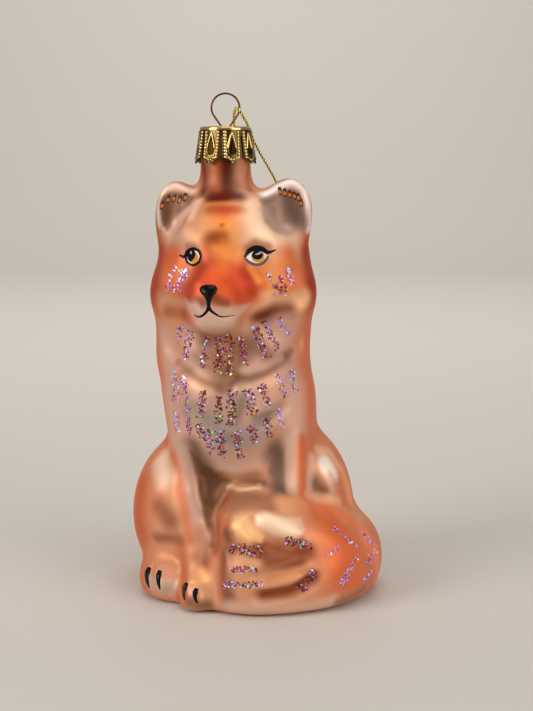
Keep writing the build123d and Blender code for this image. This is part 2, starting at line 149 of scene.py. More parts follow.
# Steps of the half section across the cap's top, round its edge and down its skirt
TOP_STEPS = 9
EDGE_STEPS = 6
SKIRT_STEPS = 61
# How wide a claw is, as a share of its pitch, at each depth below the cap's edge
CLAW_OUTLINE = [(0.0, 1.0), (6.8, 1.0), (7.1, 0.94), (7.3, 0.8), (7.5, 0.6), (7.7, 0.46), (8.0, 0.41),
                (8.3, 0.34), (8.5, 0.2), (8.6, 0.04)]
# Half width of the sunk drop on a claw at each depth
FIELD_OUTLINE = [(0.9, 0.0), (2.0, 0.35), (3.4, 0.75), (4.8, 1.08), (5.6, 1.14), (6.2, 0.96), (6.6, 0.0)]
FIELD_DEPTH = 0.16
FIELD_EDGE = (0.1, 0.25)
RIDGE_END = 5.0
RIDGE_HEIGHT = 0.2
RIDGE_RADIUS = 0.24
# Pressed beads down both edges of a claw and along its foot: first depth, last depth and pitch, or places
BEAD_ROWS = (0.9, 7.2, 0.78)
BEAD_ASIDE = 1.75
BEAD_HEIGHT = 0.24
BEAD_RADIUS = 0.37
FOOT_BEADS = [(-1.05, 7.3), (-0.38, 7.75), (0.38, 7.75), (1.05, 7.3), (0.0, 8.5)]
FOOT_BEAD_HEIGHT = 0.22
FOOT_BEAD_RADIUS = 0.36
# Painted highlights and dark reflection on the cap: share of bright gold at each height of the relief, and at
# each depth towards the tip
PAINTED_LIGHT_BY_RELIEF = [(-0.16, 0.0), (0.0, 0.1), (0.08, 0.46), (0.2, 1.0)]
PAINTED_DARK_TOWARDS_TIP = [(6.4, 1.0), (8.4, 0.5)]
PLAIN_DEPTH = 0.2
PAINTED_LIGHT_ON_PLAIN_TOP = 0.8

# Cord
CORD_DIAMETER = 0.8
CORE_DIAMETER = 0.58
STRAND_DIAMETER = 0.32
STRAND_PITCH = 1.7
STRAND_STEP = 0.16
STRAND_SIDE = (0.3, 0.9, 0.2)
CURVE_STEPS = 12
CURVE_ORDER = 3
CORE_SIDES = 2
KNOT_SEAT = (9.0, 20.8, 45.0)
KNOT_STEPS = 18
KNOT_WIDTH = 0.3
KNOT_HEIGHT = 0.36
KNOT_WINDING = 0.7
# A cut tail from the knot's seat: aside, back, up
KNOT_TAIL = [(0.6, 0.0, 1.4), (0.5, 0.0, 0.0), (0.6, 0.0, -1.6), (1.1, 0.2, -4.6), (1.5, 0.0, -8.2)]
CORD_ROUTE = [
    (8.4, 20.8, 46.4),
    (8.2, 19.9, 58.0),
    (7.0, 19.1, 72.0),
    (5.6, 18.8, 85.0),
    (4.2, 17.4, 95.0),
    (3.2, 13.9, 104.0),
    (2.6, 10.6, 112.2),
    (2.2, 9.2, 118.0),
    (2.0, 6.9, 122.2),
    (2.1, 2.9, 124.0),
    (2.5, 0.8, 125.2),
    (2.9, -0.9, 125.6),
    (4.0, -1.1, 124.4),
    (4.6, 0.8, 123.0),
    (5.3, 3.8, 122.2),
    (6.1, 6.7, 119.8),
    (7.9, 7.8, 115.6),
    (10.6, 8.8, 111.0),
    (13.4, 10.6, 106.2),
    (15.0, 13.6, 99.6),
    (14.6, 16.8, 90.0),
    (12.8, 18.6, 78.0),
    (10.8, 19.6, 63.0),
    (9.6, 20.8, 46.4),
]

# Colours, red, green and blue from 0 to 255
PEACH = (216, 152, 116)
ORANGE = (206, 100, 60)
DEEP_ORANGE = (172, 66, 40)
CAP_GOLD = (238, 202, 126)
CAP_DARK = (34, 22, 6)
WIRE_BRONZE = (104, 68, 28)
CORD_GOLD = (255, 244, 130)
CORD_DARK = (38, 30, 8)


def linear(colour):
    """Light values of a colour given from 0 to 255."""
    share = np.array(colour) / 255
    return np.where(share <= 0.04045, share / 12.92, ((share + 0.055) / 1.055) ** 2.4)


def leave_edit():
    """Back to object mode with nothing selected."""
    if bpy.context.object and bpy.context.object.mode != "OBJECT":
        bpy.ops.object.mode_set(mode="OBJECT")
    bpy.ops.object.select_all(action="DESELECT")


def pick(piece):
    """Only this piece selected."""
    leave_edit()
    piece.select_set(True)
    bpy.context.view_layer.objects.active = piece


def work_on(piece):
    """Edit mode on this piece alone, nothing selected."""
    pick(piece)
    bpy.ops.object.mode_set(mode="EDIT")
    bpy.ops.mesh.select_all(action="DESELECT")
    return bmesh.from_edit_mesh(piece.data)


def work_on_all(piece):
    """Edit mode on this piece alone, all of it selected."""
    work_on(piece)
    bpy.ops.mesh.select_all(action="SELECT")


def apply_modifier(piece, kind, **settings):
    """One modifier, set and applied."""
    pick(piece)
    modifier = piece.modifiers.new(kind.lower(), kind)
    for name, value in settings.items():
        setattr(modifier, name, value)
    bpy.ops.object.modifier_apply(modifier=modifier.name)


def smooth(piece, passes, **limits):
    """Eases a piece's points towards their neighbours."""
    apply_modifier(piece, "SMOOTH", factor=SMOOTHING, iterations=passes, **limits)


def last_made(name):
    """The piece that an operator has just added, named."""
    piece = bpy.context.object
    piece.name = name
    piece.data.name = name
    return piece


def rows_of(piece, kind):
    """Three values for each of the piece's points, one row each."""
    rows = np.empty(len(piece.data.vertices) * 3, np.float32)
    piece.data.vertices.foreach_get(kind, rows)
    return rows.reshape(-1, 3).astype(float)


def points_of(piece):
    """The piece's points in metres."""
    return rows_of(piece, "co")


def normals_of(piece):
    """The outward direction at each point."""
    return rows_of(piece, "normal")


def move_points(piece, points):
    """Puts the piece's points in their new places."""
    piece.data.vertices.foreach_set("co", np.asarray(points, np.float32).ravel())
    piece.data.update()


def colour_points(mesh, name, colours):
    """Gives each point of a mesh its own colour, kept under a name."""
    layer = mesh.color_attributes.new(name, "FLOAT_COLOR", "POINT")
    layer.data.foreach_set("color", np.hstack([colours, np.ones((len(colours), 1))]).ravel())


def smooth_faces(piece):
    """Shades a piece's faces as one smooth surface."""
    piece.data.polygons.foreach_set("use_smooth", [True] * len(piece.data.polygons))


def finish_piece(piece, body, material):
    """Material, smooth faces, and the body that the piece moves with."""
    piece.data.materials.clear()
    piece.data.materials.append(material)
    if piece.type == "MESH":
        smooth_faces(piece)
    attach(piece, body)
    return piece


def joined(pieces, name):
    """Several pieces made one."""
    leave_edit()
    for piece in pieces:
        piece.select_set(True)
    bpy.context.view_layer.objects.active = pieces[0]
    bpy.ops.object.join()
    return last_made(name)


# Camera, light and floor

def place_camera():
    """Camera at the picture's angle."""
    data = bpy.data.cameras.new("camera")
    data.sensor_width = SENSOR
    data.lens = FOCAL_PIXELS * SENSOR / PICTURE_HEIGHT
    camera = bpy.data.objects.new("camera", data)
    camera.location = Vector(CAMERA_PLACE) * MM
    camera.rotation_euler = (math.radians(90 - CAMERA_TILT), 0, 0)
    bpy.context.scene.collection.objects.link(camera)
    bpy.context.scene.camera = camera


def sight_line(px, py):
    """Direction from the camera through a place in the picture."""
    across = (px - PICTURE_WIDTH / 2) / FOCAL_PIXELS
    up = (PICTURE_HEIGHT / 2 - py) / FOCAL_PIXELS
    tilt = math.radians(CAMERA_TILT)
    away = math.cos(tilt) + up * math.sin(tilt)
    rise = up * math.cos(tilt) - math.sin(tilt)
    return Vector((across, away, rise)).normalized()


def softbox(name, place, aim, size, power, colour):
    """Square studio lamp at a place, turned to its aim."""
    data = bpy.data.lights.new(name, "AREA")
    data.shape = "SQUARE"
    data.size = size
    data.energy = power
    data.color = colour
    lamp = bpy.data.objects.new(name, data)
    lamp.location = place
    lamp.rotation_mode = "QUATERNION"
    lamp.rotation_quaternion = (Vector(aim) - Vector(place)).to_track_quat("-Z", "Y")
    bpy.context.scene.collection.objects.link(lamp)


def studio():
    """Soft light from both sides and above, a pale floor and a pale backdrop."""
    for lamp in LAMPS:
        softbox(*lamp)
    world = bpy.data.worlds.new("studio")
    world.use_nodes = True
    background = world.node_tree.nodes["Background"]
    background.inputs["Color"].default_value = ROOM_LIGHT
    background.inputs["Strength"].default_value = ROOM_STRENGTH
    bpy.context.scene.world = world
    leave_edit()
    bpy.ops.mesh.primitive_plane_add(size=FLOOR_SIZE, location=(0, 0, 0))
    floor = last_made("floor")
    mesh = work_on(floor)
    for edge in mesh.edges:
        edge.select = all(vertex.co.y > 0 for vertex in edge.verts)
    bpy.ops.mesh.extrude_region_move(TRANSFORM_OT_translate={"value": (0, 0, BACKDROP_HEIGHT)})
    work_on_all(floor)
    bpy.ops.mesh.bevel(offset=BACKDROP_ROUND, segments=BACKDROP_STEPS)
    leave_edit()
    floor.data.materials.append(floor_material())
    smooth_faces(floor)


# Materials

def unevenness_group():
    """Soft patches between two values, and a fine ripple, both on the piece's own coordinates."""
    group = bpy.data.node_groups.new("surface_unevenness", "ShaderNodeTree")
    for name in UNEVEN_INPUTS:
        group.interface.new_socket(name, in_out="INPUT", socket_type="NodeSocketFloat")
    for name in ("Value", "Ripple"):
        group.interface.new_socket(name, in_out="OUTPUT", socket_type="NodeSocketFloat")
    nodes = group.nodes
    links = group.links
    inputs = nodes.new("NodeGroupInput")
    outputs = nodes.new("NodeGroupOutput")
    place = nodes.new("ShaderNodeTexCoord")
    patches = nodes.new("ShaderNodeTexNoise")
    patches.inputs["Detail"].default_value = PATCH_DETAIL
    spread = nodes.new("ShaderNodeMapRange")
    spread.inputs["From Min"].default_value = PATCH_RANGE[0]
    spread.inputs["From Max"].default_value = PATCH_RANGE[1]
    ripple = nodes.new("ShaderNodeTexNoise")
    ripple.inputs["Detail"].default_value = RIPPLE_DETAIL
    links.new(place.outputs["Object"], patches.inputs["Vector"])
    links.new(place.outputs["Object"], ripple.inputs["Vector"])
    links.new(inputs.outputs["Patch Scale"], patches.inputs["Scale"])
    links.new(inputs.outputs["Ripple Scale"], ripple.inputs["Scale"])
    links.new(patches.outputs["Fac"], spread.inputs["Value"])
    links.new(inputs.outputs["Low"], spread.inputs["To Min"])
    links.new(inputs.outputs["High"], spread.inputs["To Max"])
    links.new(spread.outputs["Result"], outputs.inputs["Value"])
    links.new(ripple.outputs["Fac"], outputs.inputs["Ripple"])
    return group


UNEVENNESS = unevenness_group()


def new_material(name, colour, settings, rough, scales, ripple):
    """A surface in one colour, or in the piece's point colours of that name, unevenly rough and rippled."""
    material = bpy.data.materials.new(name)
    material.use_nodes = True
    nodes = material.node_tree.nodes
    links = material.node_tree.links
    shader = nodes["Principled BSDF"]
    if isinstance(colour, str):
        own = nodes.new("ShaderNodeVertexColor")
        own.layer_name = colour
        links.new(own.outputs["Color"], shader.inputs["Base Color"])
    else:
        shader.inputs["Base Color"].default_value = (*colour, 1)
    for socket, value in settings.items():
        shader.inputs[socket].default_value = value
    group = nodes.new("ShaderNodeGroup")
    group.node_tree = UNEVENNESS
    for socket, value in zip(UNEVEN_INPUTS, (scales[0], *rough, scales[1])):
        group.inputs[socket].default_value = value
    bump = nodes.new("ShaderNodeBump")
    bump.inputs["Strength"].default_value = ripple
    bump.inputs["Distance"].default_value = RIPPLE_HEIGHT * MM
    links.new(group.outputs["Value"], shader.inputs["Roughness"])
    links.new(group.outputs["Ripple"], bump.inputs["Height"])
    links.new(bump.outputs["Normal"], shader.inputs["Normal"])
    return material


def floor_material():
    """Plain pale studio floor."""
    return new_material("pale_floor", FLOOR_COLOUR, {}, rough=(0.5, 0.6), scales=(6, 40), ripple=0.1)


def lacquer_material():
    """Satin lacquer over silvered glass, in the colours sprayed on it, with painted shade, highlights and
    reflections among them.
    """
    settings = {"Metallic": 0.28, "Specular IOR Level": 0.35, "Specular Tint": (1.0, 0.55, 0.36, 1)}
    return new_material("satin_lacquer", "spray_and_painted_light", settings, rough=(0.42, 0.5), scales=(90, 1400), ripple=0.12)


def paint_material(name, colour, roughness, shine):
    """Glossy hand-brushed enamel."""
    settings = {"Specular IOR Level": shine}
    rough = (roughness, roughness + ENAMEL_RANGE)
    return new_material(name, linear(colour), settings, rough, scales=(700, 2500), ripple=0.2)


def metal_material(name, colour, rough):
    """Bright metal."""
    return new_material(name, colour, {"Metallic": 1}, rough, scales=(900, 3000), ripple=0.1)


def glitter_material():
    """Foil flakes, each with its own colour."""
    settings = {"Metallic": 0.2, "Specular IOR Level": 0.3}
    return new_material("glitter_foil", "foil", settings, rough=(0.25, 0.4), scales=(2000, 4000), ripple=0.05)


# Cord

def cord_line(route):
    """A smooth curve with the route's points as its control points, and its points in order."""
    data = bpy.data.curves.new("cord_line", "CURVE")
    data.dimensions = "3D"
    data.resolution_u = CURVE_STEPS
    spline = data.splines.new("NURBS")
    spline.points.add(len(route) - 1)
    for point, place in zip(spline.points, route):
        point.co = (*(Vector(place) * MM), 1)
    spline.order_u = CURVE_ORDER
    spline.use_endpoint_u = True
    curve = bpy.data.objects.new("cord_line", data)
    bpy.context.scene.collection.objects.link(curve)
    bpy.context.view_layer.update()
    line = bpy.data.meshes.new_from_object(curve)
    points = np.array([vertex.co[:] for vertex in line.vertices])
    bpy.data.meshes.remove(line)
    return curve, points


def wound_strands(name, line, winding):
    """Two metallic threads wound round a line, from a turn to start at."""
    runs = np.linalg.norm(np.diff(line, axis=0), axis=1)
    along = np.concatenate([[0], np.cumsum(runs)])
    steps = np.arange(0, along[-1], STRAND_STEP * MM)
    middle = np.stack([np.interp(steps, along, line[:, axis]) for axis in range(3)], axis=1)
    heading = np.gradient(middle, axis=0)
    heading /= np.linalg.norm(heading, axis=1)[:, None]
    side = np.cross(heading[0], STRAND_SIDE)
    sides = []
    for direction in heading:
        side = side - direction * (side @ direction)
        side = side / np.linalg.norm(side)
        sides.append(side)
    sides = np.array(sides)
    other = np.cross(heading, sides)
    reach = (CORD_DIAMETER - STRAND_DIAMETER) / 2 * MM
    strands = []
    for start in (0, math.pi):
        angle = start + winding + steps / (STRAND_PITCH * MM) * 2 * math.pi
        helix = middle + reach * (np.cos(angle)[:, None] * sides + np.sin(angle)[:, None] * other)
        data = bpy.data.curves.new("strand", "CURVE")
        data.dimensions = "3D"
        data.bevel_depth = STRAND_DIAMETER / 2 * MM
        data.bevel_resolution = 1
        data.use_fill_caps = True
        spline = data.splines.new("POLY")
        spline.points.add(len(helix) - 1)
        spline.points.foreach_set("co", np.hstack([helix, np.ones((len(helix), 1))]).ravel())
        curve = bpy.data.objects.new("strand", data)
        bpy.context.scene.collection.objects.link(curve)
        pick(curve)
        bpy.ops.object.convert(target="MESH")
        strands.append(bpy.context.object)
    return joined(strands, name)


def knot_loops():
    """Route of a drawn-up overhand knot round its seat."""
    x, y, z = KNOT_SEAT
    loops = []
    for step in range(KNOT_STEPS + 1):
        turn = step / KNOT_STEPS * 2 * math.pi
        across = math.sin(turn) + 2 * math.sin(2 * turn)
        along = math.cos(turn) - 2 * math.cos(2 * turn)
        loops.append((x + KNOT_WIDTH * across, y - KNOT_WIDTH * math.sin(3 * turn), z + KNOT_HEIGHT * along))
    return loops


def hanging_cord():
    """Metallic cord through the wire's loop and down the back, drawn up in a knot with two cut tails."""
    core = paint_material("cord_core", CORD_DARK, roughness=0.5, shine=0.3)
    gold = metal_material("cord_gold", linear(CORD_GOLD), rough=(0.3, 0.45))
    curve, line = cord_line(CORD_ROUTE)
    strands = wound_strands("cord_strands", line, 0.0)
    finish_piece(strands, "hanger", gold)
    curve.name = "cord_core"
    curve.data.bevel_depth = CORE_DIAMETER / 2 * MM
    curve.data.bevel_resolution = CORE_SIDES
    curve.data.use_fill_caps = True
    finish_piece(curve, "hanger", core)
    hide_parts("hanging_cord")
    x, y, z = KNOT_SEAT
    routes = [knot_loops()]
    for side in (-1, 1):
        routes.append([(x + side * aside, y + back, z + up) for aside, back, up in KNOT_TAIL])
    threads = []
    for route in routes:
        part, part_line = cord_line(route)
        threads.append(wound_strands("knot_thread", part_line, KNOT_WINDING))
        part.data.bevel_depth = CORE_DIAMETER / 2 * MM
        part.data.use_fill_caps = True
        pick(part)
        bpy.ops.object.convert(target="MESH")
        threads.append(bpy.context.object)
    knot = joined(threads, "cord_knot_wound")
    finish_piece(knot, "hanger", gold)
    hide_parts("cord_knot")


# Fox

def ramp(values, start, span):
    """0 up to a start, then rising evenly to 1 over a span."""
    return np.clip((values - start) / span, 0, 1)


def eased(share):
    """An even rise from 0 to 1 made soft at both ends."""
    return share * share * (3 - 2 * share)


def falloff(distance, radius):
    """1 at a stroke's middle, easing to 0 at its edge."""
    near = np.clip(1 - (distance / radius) ** 2, 0, 1)
    return near * near


def line_distance(points, line):
    """How far each point is from a line through several places."""
    nearest = np.full(len(points), np.inf)
    for start, end in zip(line, line[1:]):
        run = end - start
        share = np.clip((points - start) @ run / (run @ run), 0, 1)
        away = np.linalg.norm(points - start - share[:, None] * run, axis=1)
        nearest = np.minimum(nearest, away)
    return nearest


def skin_tree(fox):
    """The fox's skin, ready to be drawn on."""
    points = [vertex.co for vertex in fox.data.vertices]
    faces = [tuple(face.vertices) for face in fox.data.polygons]
    return BVHTree.FromPolygons(points, faces)


def seen_at(tree, px, py):
    """The place on the skin, and its outward direction, that shows at a place in the picture."""
    eye = Vector(CAMERA_PLACE) * MM
    sight = sight_line(px, py)
    place, normal, _, _ = tree.ray_cast(eye, sight)
    if place is None:
        place, normal, _, _ = tree.find_nearest(eye + sight * eye.length)
    return np.array(place), np.array(normal)


def drawn_line(tree, places):
    """A line on the skin through places in the picture; one place alone gets a short line."""
    if len(places) == 1:
        places = [places[0], (places[0][0] + SHORT_LINE, places[0][1])]
    return [seen_at(tree, *place)[0] for place in places]


def fox_skin():
    """The glass's outer skin alone, closed at the neck, in even faces."""
    fox = bpy.data.objects.new("fox_body", frame["nodes"]["glass_body"].data.copy())
    bpy.context.scene.collection.objects.link(fox)
    work_on_all(fox)
    bpy.ops.mesh.remove_doubles(threshold=SKIN_WELD * MM)
    bpy.ops.mesh.select_all(action="DESELECT")
    mesh = bmesh.from_edit_mesh(fox.data)
    bpy.ops.mesh.select_mode(type="FACE")
    for face in mesh.faces:
        face.select_set(min(vertex.co.z for vertex in face.verts) > (NECK_TOP - TOP_SLACK) * MM)
    bpy.ops.mesh.delete(type="FACE")
    bpy.ops.mesh.select_mode(type="VERT")
    mesh = bmesh.from_edit_mesh(fox.data)
    lowest = min(mesh.verts, key=lambda vertex: vertex.co.z)
    lowest.select_set(True)
    bpy.ops.mesh.select_linked()
    bpy.ops.mesh.select_all(action="INVERT")
    bpy.ops.mesh.delete(type="VERT")
    bpy.ops.mesh.select_mode(type="EDGE")
    bpy.ops.mesh.select_non_manifold()
    bpy.ops.mesh.edge_face_add()
    leave_edit()
    apply_modifier(fox, "REMESH", mode="VOXEL", voxel_size=SKIN_VOXEL * MM)
    smooth(fox, SKIN_PASSES)
    return fox


def open_neck(fox):
    """Cuts the neck open and turns its rim in to a bore."""
    work_on_all(fox)
    bpy.ops.mesh.bisect(plane_co=(0, 0, (NECK_TOP - NECK_CUT) * MM), plane_no=(0, 0, 1), clear_outer=True)
    bpy.ops.mesh.select_all(action="DESELECT")
    bpy.ops.mesh.select_mode(type="EDGE")
    bpy.ops.mesh.select_non_manifold()
    for radius, depth in NECK_RINGS:
        bpy.ops.mesh.extrude_region_move()
        mesh = bmesh.from_edit_mesh(fox.data)
        for vertex in mesh.verts:
            if vertex.select:
                outwards = Vector((vertex.co.x, vertex.co.y)).normalized() * radius * MM
                vertex.co = (outwards.x, outwards.y, (NECK_TOP - depth) * MM)
        bmesh.update_edit_mesh(fox.data)
    bpy.ops.mesh.edge_face_add()
    leave_edit()


# Places where the blown glass is softest: places in the picture, reach in millimetres
SOFT_PLACES = [
    ([(176, 352), (196, 370), (216, 384)], 4.6),
    ([(246, 382), (272, 366), (292, 350)], 4.0),
    ([(206, 462), (240, 474), (276, 462)], 8.0),
    ([(222, 496), (262, 504)], 6.5),
    ([(194, 462), (204, 500), (212, 535), (214, 570)], 4.0),
    ([(219, 500), (221, 560), (221, 600)], 4.0),
    ([(281, 448), (284, 492)], 6.0),
    ([(146, 550), (178, 556)], 6.0),
    ([(183, 525), (185, 575)], 5.0),
    ([(198, 556), (206, 584)], 6.0),
    ([(318, 466), (328, 490)], 7.0),
    ([(164, 226), (182, 214)], 4.5),
    ([(268, 222), (298, 228)], 4.5),
    ([(206, 252), (198, 284)], 5.0),
    ([(232, 520), (258, 534)], 6.0),
    ([(208, 500), (224, 492)], 5.0),
    ([(182, 458), (191, 495), (199, 545)], 5.5),
    ([(306, 540), (330, 556)], 6.0),
]

# Places where the modelled relief runs out softly
SETTLED_PLACES = [
    ([(210, 506), (218, 490), (229, 482)], 5.0),
    ([(228, 490), (224, 504)], 4.4),
    ([(306, 556), (324, 552)], 4.0),
]

# Modelled relief: places in the picture, reach in millimetres, height in millimetres
RELIEF = [
    # ears: soft hollows and raised rims
    ([(170, 200), (170, 220)], 3.6, -0.5),
    ([(160, 224), (159, 202), (165, 189), (176, 186), (188, 191)], 1.6, 0.3),
    ([(288, 200), (286, 222)], 4.4, -0.6),
    ([(266, 193), (277, 187), (291, 182), (303, 188), (307, 203), (306, 226)], 1.7, 0.35),
    # brows, and the bridge of the muzzle between the eyes
    ([(182, 232), (196, 240)], 5.0, 0.5),
    ([(250, 220), (264, 232), (284, 240)], 6.0, 0.6),
    ([(204, 256), (198, 278)], 4.4, 0.7),
    ([(242, 264), (250, 282)], 4.6, 0.5),
    ([(217, 240)], 2.4, -0.4),
    # mouth and chin
    ([(194, 316), (199, 317), (209, 309), (224, 317), (234, 316)], 0.8, -0.25),
    ([(204, 324), (224, 325)], 4.0, 0.4),
    # chest fur
    ([(229, 358), (229, 388)], 2.6, -0.5),
    ([(254, 391), (240, 416)], 2.6, -0.5),
    ([(284, 408), (262, 426)], 2.6, -0.5),
    ([(196, 412), (216, 428)], 3.2, -0.4),
    # fold under the chest
    ([(234, 487), (240, 489), (251, 488), (260, 486)], 1.0, 0.3),
    ([(222, 479), (266, 482)], 2.2, -0.8),
    # between the front leg and the tail
    ([(206, 478), (212, 516), (214, 548)], 3.0, -0.7),
    ([(212, 496), (221, 488)], 5.0, -1.1),
    ([(209, 522), (212, 540)], 2.6, 0.5),
    # toes
    ([(153, 566), (153, 588)], 1.4, -0.3),
    ([(167, 570), (168, 592)], 1.4, -0.25),
    ([(191, 584), (191, 602)], 1.4, -0.3),
    ([(204, 590), (206, 606)], 1.4, -0.25),
    # tail fur
    ([(254, 524), (264, 534), (278, 542), (298, 545)], 3.0, -0.9),
    ([(236, 526), (252, 534)], 4.6, 0.9),
    ([(268, 520), (294, 532)], 4.0, 0.6),
    ([(228, 543), (250, 552), (276, 556), (296, 554)], 3.2, -0.8),
    ([(262, 567), (286, 564), (304, 559)], 2.4, 0.4),
    ([(255, 578), (286, 572), (312, 562)], 2.6, -0.7),
    ([(266, 586), (298, 578)], 2.2, 0.4),
    ([(258, 597), (292, 592), (310, 582)], 3.0, -0.7),
]
